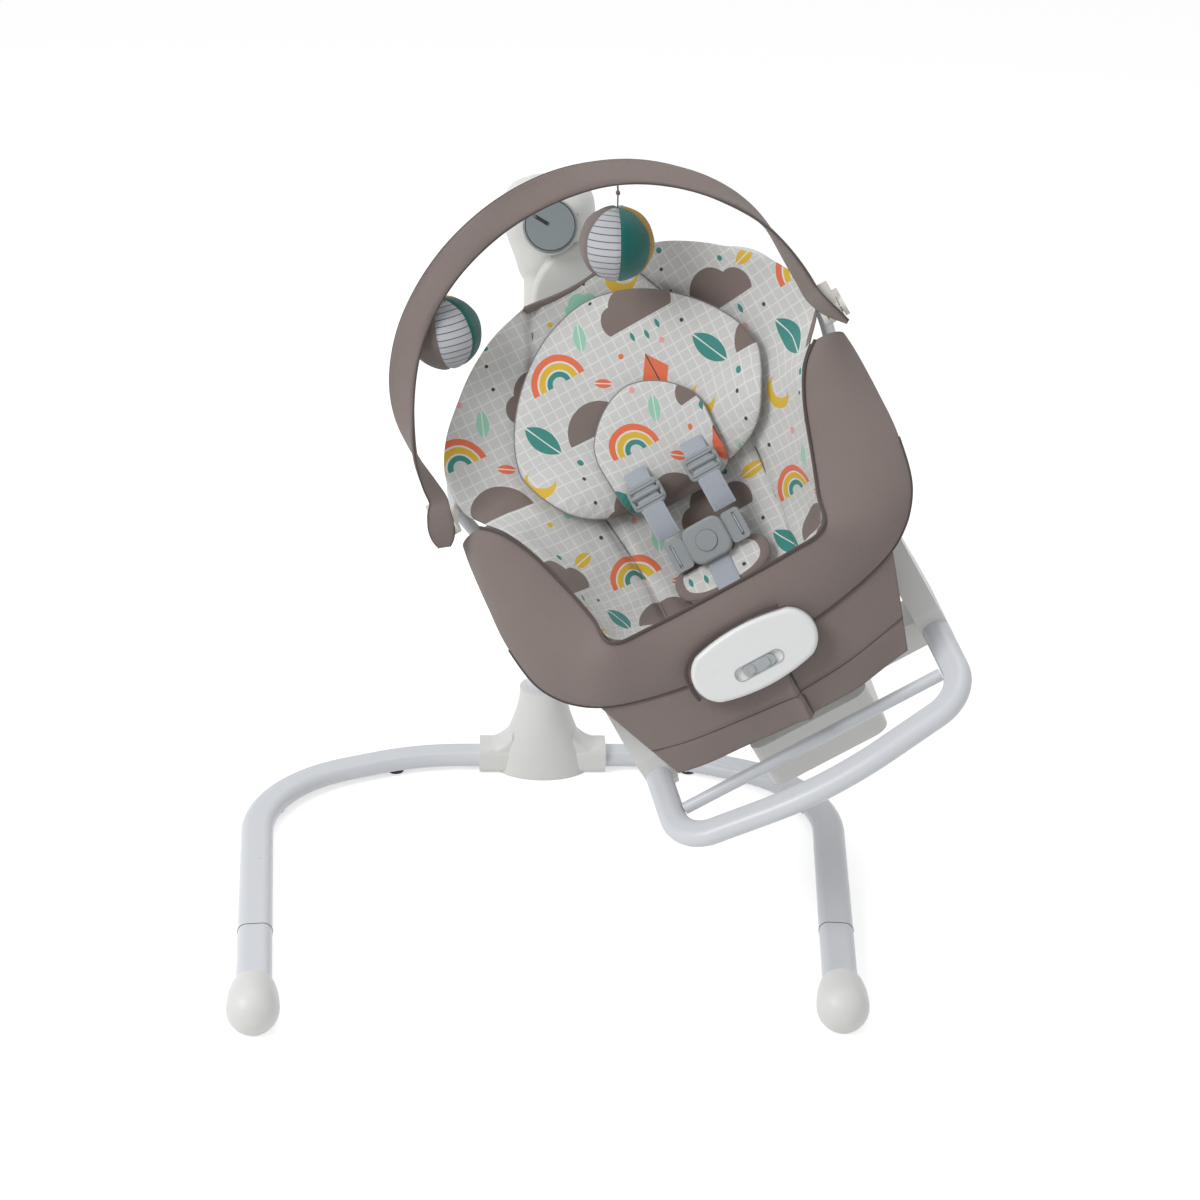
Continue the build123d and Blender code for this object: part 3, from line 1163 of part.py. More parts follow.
with BuildPart() as toy_ball_2:
    draw_ball(hang_2, hang_2 + Vector(0, BALL_2_BACK, -BALL_2_STRING - BALL_RADIUS))
save(toy_ball_2, "toy_ball_2")
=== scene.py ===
# %% [markdown]
# A sway swing for a baby: a white floor frame with a mast, a drive head with a dial, and a padded rocker
# seat that hangs from an arm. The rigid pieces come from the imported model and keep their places. This
# lesson adds the camera, the light, the finishes and every soft piece, in metres and in the model's own
# frame.

# %% Load the frame
import json
import math

import bmesh
import bpy
import numpy as np
from mathutils import Matrix, Vector


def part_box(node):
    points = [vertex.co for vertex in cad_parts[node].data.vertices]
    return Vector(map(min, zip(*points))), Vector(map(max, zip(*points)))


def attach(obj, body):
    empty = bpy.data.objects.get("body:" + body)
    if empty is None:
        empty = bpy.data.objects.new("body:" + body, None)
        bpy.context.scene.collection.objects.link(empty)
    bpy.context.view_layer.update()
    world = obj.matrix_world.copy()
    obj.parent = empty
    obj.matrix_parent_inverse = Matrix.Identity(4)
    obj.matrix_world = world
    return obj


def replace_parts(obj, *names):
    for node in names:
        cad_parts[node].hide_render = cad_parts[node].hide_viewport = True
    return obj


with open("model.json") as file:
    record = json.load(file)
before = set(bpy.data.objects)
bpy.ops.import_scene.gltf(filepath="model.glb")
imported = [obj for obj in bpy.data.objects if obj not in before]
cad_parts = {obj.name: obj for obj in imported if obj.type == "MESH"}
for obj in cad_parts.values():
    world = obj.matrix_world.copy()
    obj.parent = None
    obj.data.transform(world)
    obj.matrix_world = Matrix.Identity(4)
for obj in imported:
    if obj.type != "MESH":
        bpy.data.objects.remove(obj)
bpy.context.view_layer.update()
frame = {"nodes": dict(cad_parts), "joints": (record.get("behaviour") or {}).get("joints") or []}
nodes = frame["nodes"]

# %% [markdown]
# The camera comes first, because every shape is seen through it. Its place was fitted to the floor
# frame: it looks down by 23 degrees, turns a little to the right and is rolled by about a degree. A 63 mm
# lens on a 36 mm sensor gives the same field as the photograph in a square image.

# %% Camera
CAMERA_SPOT = (-0.042, -2.274, 1.186)
CAMERA_DOWN, CAMERA_TURN, CAMERA_ROLL = math.radians(23), math.radians(2.71), math.radians(1.35)
forward = Vector((math.sin(CAMERA_TURN) * math.cos(CAMERA_DOWN),
                  math.cos(CAMERA_TURN) * math.cos(CAMERA_DOWN), -math.sin(CAMERA_DOWN)))
level = Vector((math.cos(CAMERA_TURN), -math.sin(CAMERA_TURN), 0))
upward = level.cross(forward)
across = level * math.cos(CAMERA_ROLL) + upward * math.sin(CAMERA_ROLL)
upright = upward * math.cos(CAMERA_ROLL) - level * math.sin(CAMERA_ROLL)
lens = bpy.data.cameras.new("camera")
lens.lens, lens.sensor_width, lens.clip_end = 63, 36, 60
camera = bpy.data.objects.new("camera", lens)
camera.matrix_world = Matrix((across, upright, -forward)).transposed().to_4x4()
camera.location = CAMERA_SPOT
bpy.context.scene.collection.objects.link(camera)
bpy.context.scene.camera = camera
bpy.context.scene.view_settings.view_transform = "Standard"
print("camera looks along", [round(value, 3) for value in forward])

# %% [markdown]
# The studio is a wide white floor, a pale sky and three soft lamps. The sky alone would light every side
# alike, so the lamps add the soft shading that shows the padding. The floor glows a little for the camera
# and for reflections, which keeps it white without putting more light on the object, and it still takes
# the shadow.


# %% Studio
def paint(red, green, blue):
    """A colour as a paint chart writes it, 0 to 255, for a shader."""
    chart = [value / 255 for value in (red, green, blue)]
    return tuple(v / 12.92 if v <= 0.04045 else ((v + 0.055) / 1.055) ** 2.4 for v in chart) + (1.0,)


def studio_ray(tree):
    """1 for camera, mirror and glass rays, 0 for the rays that carry light."""
    path = tree.nodes.new("ShaderNodeLightPath")
    sums = [tree.nodes.new("ShaderNodeMath") for _ in range(2)]
    for node in sums:
        node.operation = "MAXIMUM"
    tree.links.new(path.outputs["Is Camera Ray"], sums[0].inputs[0])
    tree.links.new(path.outputs["Is Glossy Ray"], sums[0].inputs[1])
    tree.links.new(sums[0].outputs[0], sums[1].inputs[0])
    tree.links.new(path.outputs["Is Transmission Ray"], sums[1].inputs[1])
    return sums[1].outputs[0]


sky = bpy.data.worlds.new("studio_sky")
sky.use_nodes = True
bpy.context.scene.world = sky
sky_mix = sky.node_tree.nodes.new("ShaderNodeMixShader")
sky_seen = sky.node_tree.nodes.new("ShaderNodeBackground")
sky_light = sky.node_tree.nodes["Background"]
sky_light.inputs["Color"].default_value = (1, 1, 1, 1)
sky_light.inputs["Strength"].default_value = 0.46
sky_seen.inputs["Color"].default_value = (1, 1, 1, 1)
sky.node_tree.links.new(studio_ray(sky.node_tree), sky_mix.inputs["Fac"])
sky.node_tree.links.new(sky_light.outputs[0], sky_mix.inputs[1])
sky.node_tree.links.new(sky_seen.outputs[0], sky_mix.inputs[2])
sky.node_tree.links.new(sky_mix.outputs[0], sky.node_tree.nodes["World Output"].inputs["Surface"])

floor_paint = bpy.data.materials.new("studio_floor")
floor_paint.use_nodes = True
floor_shader = floor_paint.node_tree.nodes["Principled BSDF"]
floor_shader.inputs["Base Color"].default_value = (0.86, 0.86, 0.86, 1)
floor_shader.inputs["Roughness"].default_value = 0.9
floor_shader.inputs["Specular IOR Level"].default_value = 0.0
floor_shader.inputs["Emission Color"].default_value = (1, 1, 1, 1)
floor_glow = floor_paint.node_tree.nodes.new("ShaderNodeMath")
floor_glow.operation = "MULTIPLY"
floor_glow.inputs[1].default_value = 0.58
floor_paint.node_tree.links.new(studio_ray(floor_paint.node_tree), floor_glow.inputs[0])
floor_paint.node_tree.links.new(floor_glow.outputs[0], floor_shader.inputs["Emission Strength"])
floor_mesh = bpy.data.meshes.new("floor")
floor_mesh.from_pydata([(-14, -14, 0), (14, -14, 0), (14, 14, 0), (-14, 14, 0)], [], [(0, 1, 2, 3)])
floor_mesh.materials.append(floor_paint)
floor = bpy.data.objects.new("floor", floor_mesh)
floor.location.z = -0.0005
bpy.context.scene.collection.objects.link(floor)

LAMPS_AIM = Vector((0.05, -0.25, 0.35))
LAMPS = {"key_lamp": ((-2.3, -1.9, 2.5), 1.8, 56), "fill_lamp": ((2.2, -1.6, 1.6), 2.4, 3),
         "top_lamp": ((0.0, 0.3, 2.9), 2.0, 12)}
for name, (spot, width, watts) in LAMPS.items():
    glow = bpy.data.lights.new(name, "AREA")
    glow.shape, glow.size, glow.energy = "DISK", width, watts
    lamp = bpy.data.objects.new(name, glow)
    lamp.location = spot
    lamp.rotation_euler = (LAMPS_AIM - Vector(spot)).to_track_quat("-Z", "Y").to_euler()
    bpy.context.scene.collection.objects.link(lamp)
print("studio: floor, sky and", len(LAMPS), "lamps")

# %% [markdown]
# Shader nodes are easiest to read when a formula looks like a formula. These helpers add one Math or
# Vector Math node each and hand back its output, so a mask such as "closer to this point than that
# radius" is one short line.


# %% Node helpers
def blank(name):
    """A new material with its tree and its shader."""
    material = bpy.data.materials.new(name)
    material.use_nodes = True
    return material, material.node_tree, material.node_tree.nodes["Principled BSDF"]


def feed(tree, socket, value):
    """Puts a number, a vector or another node's output into a socket."""
    if isinstance(value, bpy.types.NodeSocket):
        tree.links.new(value, socket)
    else:
        socket.default_value = value


def calc(tree, operation, *values):
    """One Math node."""
    node = tree.nodes.new("ShaderNodeMath")
    node.operation = operation
    for socket, value in zip(node.inputs, values):
        feed(tree, socket, value)
    return node.outputs[0]


def vector(tree, operation, *values):
    """One Vector Math node; the measuring ones give a number."""
    node = tree.nodes.new("ShaderNodeVectorMath")
    node.operation = operation
    for socket, value in zip(node.inputs, values):
        feed(tree, socket, value)
    return node.outputs["Value" if operation in ("DISTANCE", "LENGTH", "DOT_PRODUCT") else "Vector"]


def layer(tree, under, over, mask):
    """One colour laid over another through a mask."""
    node = tree.nodes.new("ShaderNodeMix")
    node.data_type = "RGBA"
    feed(tree, node.inputs["Factor"], mask)
    feed(tree, node.inputs[6], under)
    feed(tree, node.inputs[7], over)
    return node.outputs[2]


def grain(tree, where, scale, detail=2.0):
    """Soft noise between 0 and 1."""
    node = tree.nodes.new("ShaderNodeTexNoise")
    node.inputs["Scale"].default_value = scale
    node.inputs["Detail"].default_value = detail
    tree.links.new(where, node.inputs["Vector"])
    return node.outputs["Fac"]


def body_place(tree):
    """The point on the piece, in metres, which travels with it."""
    return tree.nodes.new("ShaderNodeTexCoord").outputs["Object"]


def cloth_place(tree):
    """The point on the flat cloth, in metres."""
    node = tree.nodes.new("ShaderNodeUVMap")
    node.uv_map = "cloth"
    return node.outputs["UV"]


def raise_surface(tree, shader, height, distance, strength=1.0):
    """Bump from a height."""
    node = tree.nodes.new("ShaderNodeBump")
    node.inputs["Strength"].default_value = strength
    node.inputs["Distance"].default_value = distance
    tree.links.new(height, node.inputs["Height"])
    tree.links.new(node.outputs["Normal"], shader.inputs["Normal"])


print("node helpers ready")

# %% [markdown]
# The frame is moulded plastic and steel tube with a satin coat. Neither is one flat value: moulded
# plastic has a fine spark-eroded grain and a slightly uneven gloss, and a powder coat has a soft orange
# peel. Both come from noise measured on the piece itself, so they stay put when the seat sways.


# %% Hard finishes
def moulded(name, colour, rough, grain_size=0.0012, lift=0.00006, drift=0.04):
    """Moulded plastic or coated metal: slight drift of tone, uneven gloss and a fine grain."""
    material, tree, shader = blank(name)
    place = body_place(tree)
    base = paint(*colour)
    worn = tuple(value * (1 - drift) for value in base[:3]) + (1.0,)
    tree.links.new(layer(tree, base, worn, grain(tree, place, 9.0, 4.0)), shader.inputs["Base Color"])
    gloss = calc(tree, "MULTIPLY_ADD", grain(tree, place, 40.0), 0.12, rough - 0.06)
    tree.links.new(gloss, shader.inputs["Roughness"])
    raise_surface(tree, shader, grain(tree, place, 1 / grain_size), lift)
    return material


FINISHES = {
    "white_plastic": moulded("white_plastic", (230, 230, 227), 0.42),
    "white_tube": moulded("white_tube", (220, 223, 228), 0.30, 0.004, 0.00008, 0.02),
    "panel_plastic": moulded("panel_plastic", (238, 239, 239), 0.28, 0.0015, 0.00003, 0.02),
    "clip_plastic": moulded("clip_plastic", (228, 225, 216), 0.45),
    "buckle_plastic": moulded("buckle_plastic", (152, 158, 161), 0.48, 0.0009, 0.00008, 0.08),
    "dial_plastic": moulded("dial_plastic", (142, 152, 154), 0.36, 0.0009, 0.00004, 0.05),
    "switch_plastic": moulded("switch_plastic", (176, 182, 184), 0.4),
    "black_plastic": moulded("black_plastic", (38, 40, 43), 0.45),
    "gear_plastic": moulded("gear_plastic", (226, 221, 206), 0.45),
    "rubber": moulded("rubber", (62, 63, 66), 0.75, 0.0008, 0.0001, 0.1),
    "circuit_board": moulded("circuit_board", (36, 92, 60), 0.4, 0.003, 0.00015, 0.12),
    "battery_jacket": moulded("battery_jacket", (44, 46, 50), 0.3),
    "steel": moulded("steel", (176, 178, 180), 0.32, 0.0006, 0.00002, 0.06),
    "bronze": moulded("bronze", (168, 128, 78), 0.4, 0.0005, 0.00005, 0.1),
}
for metal in ("steel", "bronze"):
    FINISHES[metal].node_tree.nodes["Principled BSDF"].inputs["Metallic"].default_value = 1.0

WEARS = {
    "white_plastic": ("hub_shell hub_base head_core head_back_cover head_front_cover arm_shroud seat_carrier "
                      "release_lever side_bracket_left side_bracket_right seat_base front_feet "
                      "vibration_housing battery_door").split(),
    "white_tube": ("mast_tube rear_tube_left rear_tube_right front_tube_left front_tube_right swing_arm_tube "
                   "toe_bar toe_crossbar rear_rail seat_hoop lip_tube").split(),
    "panel_plastic": ["control_panel"],
    "clip_plastic": ["toy_clips"],
    "black_plastic": ["drive_plate"],
    "buckle_plastic": ["buckle_body", "buckle_tongues", "buckle_button"],
    "dial_plastic": ["speed_dial"],
    "switch_plastic": ["slide_switch"],
    "gear_plastic": ["sway_gear", "drive_pinion"],
    "rubber": ["floor_pads"],
    "circuit_board": ["control_board"],
    "battery_jacket": ["battery_cell"],
    "steel": ["hub_screws", "panel_screws", "snap_buttons", "sway_shaft", "arm_root", "drive_motor",
              "vibration_motor", "eccentric_weight"],
    "bronze": ["shaft_bushes"],
}
for finish, wearers in WEARS.items():
    for name in wearers:
        nodes[name].data.materials.clear()
        nodes[name].data.materials.append(FINISHES[finish])
print("hard finishes on", sum(len(wearers) for wearers in WEARS.values()), "nodes")

# %% [markdown]
# All the cloth has a weave. Two crossed waves on the flat cloth's own coordinates give the threads, and
# noise along them gives the uneven yarn. The coordinates are in metres, so a thread has its real size on
# every piece.


# %% Plain cloth
def weave(tree, shader, place, thread, lift, extra=None):
    """Crossed threads as bump; extra is a height that is added, such as stitching."""
    split = tree.nodes.new("ShaderNodeSeparateXYZ")
    tree.links.new(place, split.inputs[0])
    turn = 2 * math.pi / thread
    warp = calc(tree, "SINE", calc(tree, "MULTIPLY", split.outputs[0], turn))
    weft = calc(tree, "SINE", calc(tree, "MULTIPLY", split.outputs[1], turn))
    height = calc(tree, "MULTIPLY_ADD", calc(tree, "MULTIPLY", warp, weft), 0.5, grain(tree, place, 900.0))
    if extra is not None:
        height = calc(tree, "ADD", height, extra)
    raise_surface(tree, shader, height, lift)
    return split


def plain_cloth(name, colour, thread=0.0011, lift=0.00022, rough=0.85, sheen=0.25, mottle=0.22):
    """Cloth of one dye, with slubs and a soft sheen."""
    material, tree, shader = blank(name)
    place = cloth_place(tree)
    base = paint(*colour)
    deep = tuple(value * (1 - mottle) for value in base[:3]) + (1.0,)
    yarn = vector(tree, "MULTIPLY", place, (260.0, 1500.0, 1.0))
    patchy = calc(tree, "MULTIPLY_ADD", grain(tree, place, 30.0), 0.5, 0.75)
    tone = calc(tree, "MULTIPLY", grain(tree, yarn, 1.0, 3.0), patchy)
    tree.links.new(layer(tree, base, deep, tone), shader.inputs["Base Color"])
    shader.inputs["Roughness"].default_value = rough
    shader.inputs["Sheen Weight"].default_value = sheen
    shader.inputs["Sheen Roughness"].default_value = 0.5
    shader.inputs["Specular IOR Level"].default_value = 0.2
    weave(tree, shader, place, thread, lift)
    return material


TAUPE = plain_cloth("taupe_cloth", (146, 133, 128))
# The darker taupe cloth below is the piping, seams and stitching, and is also laid as painted shade in the
# skirt's pleat and in the gap above the panel.
PIPING_AND_SHADE = plain_cloth("piping_and_shade_cloth", (98, 86, 82))
WEBBING = plain_cloth("webbing_cloth", (186, 194, 204), 0.0022, 0.0005, 0.7, 0.1, 0.16)
BACKING = plain_cloth("backing_cloth", (196, 196, 194), 0.0014)
print("plain cloths: 4")

# %% [markdown]
# The seat's print is light grey with a white grid, and motifs stand on it in taupe, teal, coral, mustard
# and mint. The motifs here are clouds, rainbows, leaves, kites and moons, drawn with distances: a disc is
# everything closer than a radius, a leaf is where two discs cross, a moon is one disc less another. They
# repeat in a tile of whole grid squares, and every other row of tiles is shifted by half, as in a printed
# cloth.

# %% Shapes of the print
def disc(tree, place, x, y, radius):
    """Mask of a disc; x, y and radius in millimetres on the tile."""
    gap = vector(tree, "DISTANCE", place, (x / 1000, y / 1000, 0.0))
    return calc(tree, "LESS_THAN", gap, radius / 1000)


def both(tree, *masks):
    """Where all the masks hold."""
    found = masks[0]
    for mask in masks[1:]:
        found = calc(tree, "MULTIPLY", found, mask)
    return found


def either(tree, *masks):
    """Where one of the masks holds."""
    found = masks[0]
    for mask in masks[1:]:
        found = calc(tree, "MAXIMUM", found, mask)
    return found


def without(tree, mask, other):
    """One mask less another."""
    return calc(tree, "MULTIPLY", mask, calc(tree, "SUBTRACT", 1.0, other))


def leaf(tree, place, x, y, long, wide, turn):
    """Where two discs cross: a leaf, with the mask of its midrib."""
    radius = (long ** 2 / 4 + wide ** 2 / 4) / wide
    reach = radius - wide / 2
    aside = (reach * math.cos(math.radians(turn)), reach * math.sin(math.radians(turn)))
    middles = [((x + s * aside[0]) / 1000, (y + s * aside[1]) / 1000, 0.0) for s in (-1, 1)]
    gaps = [vector(tree, "DISTANCE", place, middle) for middle in middles]
    blade = both(tree, *[calc(tree, "LESS_THAN", gap, radius / 1000) for gap in gaps])
    rib = calc(tree, "LESS_THAN", calc(tree, "ABSOLUTE", calc(tree, "SUBTRACT", *gaps)), 0.0012)
    return blade, both(tree, blade, rib)


def cloud(tree, place, upright, x, y, size):
    """Three discs on a flat foot."""
    puffs = either(tree, disc(tree, place, x - 0.62 * size, y, 0.42 * size),
                   disc(tree, place, x - 0.05 * size, y + 0.2 * size, 0.62 * size),
                   disc(tree, place, x + 0.62 * size, y + 0.02 * size, 0.46 * size))
    return both(tree, puffs, calc(tree, "GREATER_THAN", upright, (y - 0.26 * size) / 1000))


print("print shapes: disc, leaf and cloud, with the ways to join them")

# %% [markdown]
# The cloth itself is a stack of layers: the ground, the grid, then each motif over what is there. The
# tables give the places on the tile in millimetres, so a motif is moved or dyed again by changing one
# row.

# %% Printed cloth
GRID, LINE_HALF = 0.012, 0.0008
TILE = (18 * GRID, 16 * GRID)
INKS = {"taupe": (132, 118, 112), "teal": (64, 146, 138), "coral": (240, 122, 84), "mustard": (232, 192, 62),
        "mint": (160, 216, 190), "dark": (74, 70, 72), "pink": (240, 172, 168), "ground": (217, 217, 215),
        "line": (235, 235, 234)}
BOWS = ((32, "coral"), (25, "line"), (23, "mustard"), (16, "line"), (14, "teal"), (8, "ground"))
LEAVES = ((106, 72, 50, 24, 25, "teal"), (104, 166, 30, 13, 100, "mustard"),
          (196, 150, 30, 14, -20, "mint"), (196, 96, 22, 10, 60, "coral"))
DOTS = ((12, 112, 3, "coral"), (92, 114, 2.2, "dark"), (128, 28, 3.2, "teal"), (202, 20, 3, "mustard"),
        (140, 178, 2.2, "dark"), (62, 106, 3.2, "pink"), (120, 10, 2, "dark"), (38, 46, 2, "dark"),
        (38, 40, 1.6, "dark"), (76, 178, 3, "teal"), (182, 178, 3.4, "pink"), (8, 178, 2, "dark"))


def printed_cloth(name, shift=(0.0, 0.0)):
    """The seat's cloth; shift moves the print on a piece that is cut from another place."""
    material, tree, shader = blank(name)
    cloth = cloth_place(tree)
    moved = vector(tree, "ADD", cloth, (shift[0], shift[1], 0.0))
    split = tree.nodes.new("ShaderNodeSeparateXYZ")
    tree.links.new(moved, split.inputs[0])
    row = calc(tree, "FLOOR", calc(tree, "DIVIDE", split.outputs[1], TILE[1]))
    tile_x = calc(tree, "WRAP", calc(tree, "MULTIPLY_ADD", row, TILE[0] / 2, split.outputs[0]), TILE[0], 0.0)
    tile_y = calc(tree, "WRAP", split.outputs[1], TILE[1], 0.0)
    join = tree.nodes.new("ShaderNodeCombineXYZ")
    tree.links.new(tile_x, join.inputs[0])
    tree.links.new(tile_y, join.inputs[1])
    place = join.outputs[0]
    ink = {key: paint(*value) for key, value in INKS.items()}
    lines = [calc(tree, "LESS_THAN", calc(tree, "PINGPONG", value, GRID / 2), LINE_HALF)
             for value in split.outputs[:2]]
    colour = layer(tree, ink["ground"], ink["line"], either(tree, *lines))

    big_cloud = cloud(tree, place, tile_y, 50, 146, 40)
    colour = layer(tree, colour, ink["taupe"], big_cloud)
    for x, y in ((34, 124), (50, 119), (66, 124)):
        colour = layer(tree, colour, ink["teal"], leaf(tree, place, x, y, 11, 4.5, 0)[0])
    hill = both(tree, disc(tree, place, 166, 50, 36), calc(tree, "GREATER_THAN", tile_y, 0.050))
    colour = layer(tree, colour, ink["taupe"], hill)
    arch = calc(tree, "GREATER_THAN", tile_y, 0.118)
    for radius, dye in BOWS:
        colour = layer(tree, colour, ink[dye], both(tree, arch, disc(tree, place, 152, 118, radius)))
    for x, y, long, wide, turn, dye in LEAVES:
        blade, rib = leaf(tree, place, x, y, long, wide, turn)
        colour = layer(tree, colour, ink[dye], blade)
        colour = layer(tree, colour, ink["line"], rib)
    off = vector(tree, "ABSOLUTE", vector(tree, "SUBTRACT", place, (0.038, 0.078, 0.0)))
    kite = calc(tree, "LESS_THAN", vector(tree, "DOT_PRODUCT", off, (1 / 0.017, 1 / 0.024, 0.0)), 1.0)
    colour = layer(tree, colour, ink["coral"], kite)
    spar = calc(tree, "LESS_THAN", calc(tree, "ABSOLUTE", calc(tree, "SUBTRACT", tile_x, 0.038)), 0.0007)
    colour = layer(tree, colour, ink["dark"], both(tree, kite, spar))
    moon = without(tree, disc(tree, place, 76, 26, 17), disc(tree, place, 83, 31, 14))
    colour = layer(tree, colour, ink["mustard"], moon)
    colour = layer(tree, colour, ink["mint"], cloud(tree, place, tile_y, 24, 22, 17))
    for x, y, radius, dye in DOTS:
        colour = layer(tree, colour, ink[dye], disc(tree, place, x, y, radius))
    tone = calc(tree, "MULTIPLY", grain(tree, cloth, 700.0), 0.10)
    tree.links.new(layer(tree, colour, (0.35, 0.34, 0.33, 1.0), tone), shader.inputs["Base Color"])
    shader.inputs["Roughness"].default_value = 0.82
    shader.inputs["Sheen Weight"].default_value = 0.15
    shader.inputs["Specular IOR Level"].default_value = 0.2
    weave(tree, shader, cloth, 0.0011, 0.00018)
    return material


PRINT_LINER = printed_cloth("printed_liner", (0.03, 0.05))
PRINT_PILLOW = printed_cloth("printed_pillow", (0.11, 0.02))
PRINT_SUPPORT = printed_cloth("printed_support", (0.07, 0.125))
print("printed cloth nodes:", len(PRINT_LINER.node_tree.nodes))

# %% [markdown]
# Soft pieces are drawn with the seat hanging straight down, in millimetres, as the frame was, and then
# turned with the sway about its axle. Each is a grid of points: rows along the piece, and closed loops
# across it. One helper turns such a grid into a mesh with its cloth coordinates, closes its two ends and
# faces it outward.

# %% Grid helpers
PIVOT, SWAY = 669.0, math.radians(31.26)


def swayed(points):
    """Points of the hanging seat in their place on the sway, in metres."""
    x, y, z = np.moveaxis(np.asarray(points, float), -1, 0)
    high = z - PIVOT
    aside = x * math.cos(SWAY) - high * math.sin(SWAY)
    upward = PIVOT + x * math.sin(SWAY) + high * math.cos(SWAY)
    return np.stack((aside, y, upward), -1) / 1000


def unit(vectors):
    """Vectors of length one."""
    return vectors / np.maximum(np.linalg.norm(vectors, axis=-1, keepdims=True), 1e-9)


def run_along(points):
    """Distance along a line of points, from its start."""
    return np.concatenate([[0], np.cumsum(np.linalg.norm(np.diff(points, axis=0), axis=1))])


def squared(wave, power):
    """A sine or cosine with its sign kept and its size to a power: below 1 it squares a circle."""
    return np.sign(wave) * np.abs(wave) ** power


def flow(table, at):
    """Smooth values between the rows of a table."""
    table = np.asarray(table, float)
    at = np.clip(np.asarray(at, float), 0, len(table) - 1)
    low = np.clip(np.floor(at).astype(int), 0, len(table) - 2)
    t = (at - low)[..., None]
    start, end = table[low], table[low + 1]
    lead = (end - table[np.maximum(low - 1, 0)]) / 2
    trail = (table[np.minimum(low + 2, len(table) - 1)] - start) / 2
    return (start * (2 * t ** 3 - 3 * t ** 2 + 1) + lead * (t ** 3 - 2 * t ** 2 + t)
            + end * (3 * t ** 2 - 2 * t ** 3) + trail * (t ** 3 - t ** 2))


def grid_mesh(name, points, cloth, materials, pick=None, wrap=True):
    """A mesh from rows of points in metres; cloth has one more column than points where the loop closes."""
    rows, columns = points.shape[:2]
    spans = columns if wrap else columns - 1
    faces, corners, kinds = [], [], []
    for row in range(rows - 1):
        for column in range(spans):
            beside = (column + 1) % columns
            faces.append((row * columns + column, row * columns + beside,
                          (row + 1) * columns + beside, (row + 1) * columns + column))
            corners += [cloth[row, column], cloth[row, column + 1],
                        cloth[row + 1, column + 1], cloth[row + 1, column]]
            kinds.append(pick(row, column) if pick else 0)
    if wrap:
        for row in (0, rows - 1):
            for column in range(columns // 2 - 1):
                loop = (column, column + 1, columns - 2 - column, columns - 1 - column)
                faces.append(tuple(row * columns + spot for spot in loop))
                corners += [cloth[row, spot] for spot in loop]
                kinds.append(pick(row, column) if pick else 0)
    mesh = bpy.data.meshes.new(name)
    mesh.from_pydata(points.reshape(-1, 3).tolist(), [], faces)
    layer_uv = mesh.uv_layers.new(name="cloth")
    layer_uv.data.foreach_set("uv", np.asarray(corners, np.float32).ravel())
    for material in materials:
        mesh.materials.append(material)
    mesh.polygons.foreach_set("material_index", kinds)
    mesh.polygons.foreach_set("use_smooth", [True] * len(faces))
    shape = bmesh.new()
    shape.from_mesh(mesh)
    bmesh.ops.recalc_face_normals(shape, faces=shape.faces)
    shape.to_mesh(mesh)
    shape.free()
    piece = bpy.data.objects.new(name, mesh)
    bpy.context.scene.collection.objects.link(piece)
    return piece


def tube(name, spine, radius, material, sides=10, flat=1.0, across=None):
    """A tube along points in metres; flat thins it along the direction across."""
    spine = np.asarray(spine, float)
    way = unit(np.gradient(spine, axis=0))
    lean = (0.3, 0.5, 0.81) if across is None else across
    side = unit(np.cross(way, np.broadcast_to(lean, way.shape)))
    up = np.cross(side, way)
    turn = np.linspace(0, 2 * math.pi, sides, endpoint=False)[None, :, None]
    points = spine[:, None] + radius * (np.cos(turn) * side[:, None] + flat * np.sin(turn) * up[:, None])
    around = np.linspace(0, 2 * math.pi * radius, sides + 1)
    cloth = np.stack(np.broadcast_arrays(around[None], run_along(spine)[:, None]), -1)
    return grid_mesh(name, points, cloth, [material])


def rough_field(a, b, seed, waves=14, low=0.6, high=3.0):
    """Seeded wrinkles: a sum of waves in chance directions, about -1 to 1."""
    chance = np.random.default_rng(seed)
    total = np.zeros(np.broadcast(a, b).shape)
    for _ in range(waves):
        turn, pace = chance.uniform(0, math.pi), chance.uniform(low, high)
        start = chance.uniform(0, 2 * math.pi)
        total += np.sin((a * math.cos(turn) + b * math.sin(turn)) * pace + start)
    return total / math.sqrt(waves)


print("grid helpers ready")

# %% [markdown]
# The liner is the printed pad that covers the back, the seat and the lip. Its rows run from the notch at
# the top of the back to the front; each row is an arc from edge to edge. Two long seams part the middle
# from the side wings, so the pad is pulled in along them and swells between. A cushion simulation would
# lose the seams' crisp lines, so the swelling and the folds are worked into the grid.

# %% Liner rows
LINER_ROWS = np.array((
    (-98, 622, 58, -103, 624), (-104, 609, 100, -124, 618), (-113, 588, 134, -149, 605),
    (-124, 567, 162, -168, 587), (-136, 540, 190, -189, 564), (-150, 508, 208, -208, 535),
    (-166, 474, 209, -230, 503), (-176, 452, 192, -260, 490), (-187, 429, 170, -284, 474),
    (-200, 400, 154, -300, 445), (-217, 363, 140, -326, 408), (-243, 322, 130, -350, 386),
    (-283, 296, 125, -375, 376), (-330, 294, 119, -396, 369), (-366, 312, 114, -398, 362),
    (-384, 333, 108, -399, 356)), float)


def liner_arc(row):
    """The radius of a row's arc and its half length."""
    mid_y, mid_z, edge_x, edge_y, edge_z = np.moveaxis(flow(LINER_ROWS, row), -1, 0)
    rise = np.hypot(edge_y - mid_y, edge_z - mid_z)
    radius = (edge_x ** 2 + rise ** 2) / (2 * rise)
    return radius, radius * 2 * np.arctan2(rise, edge_x)


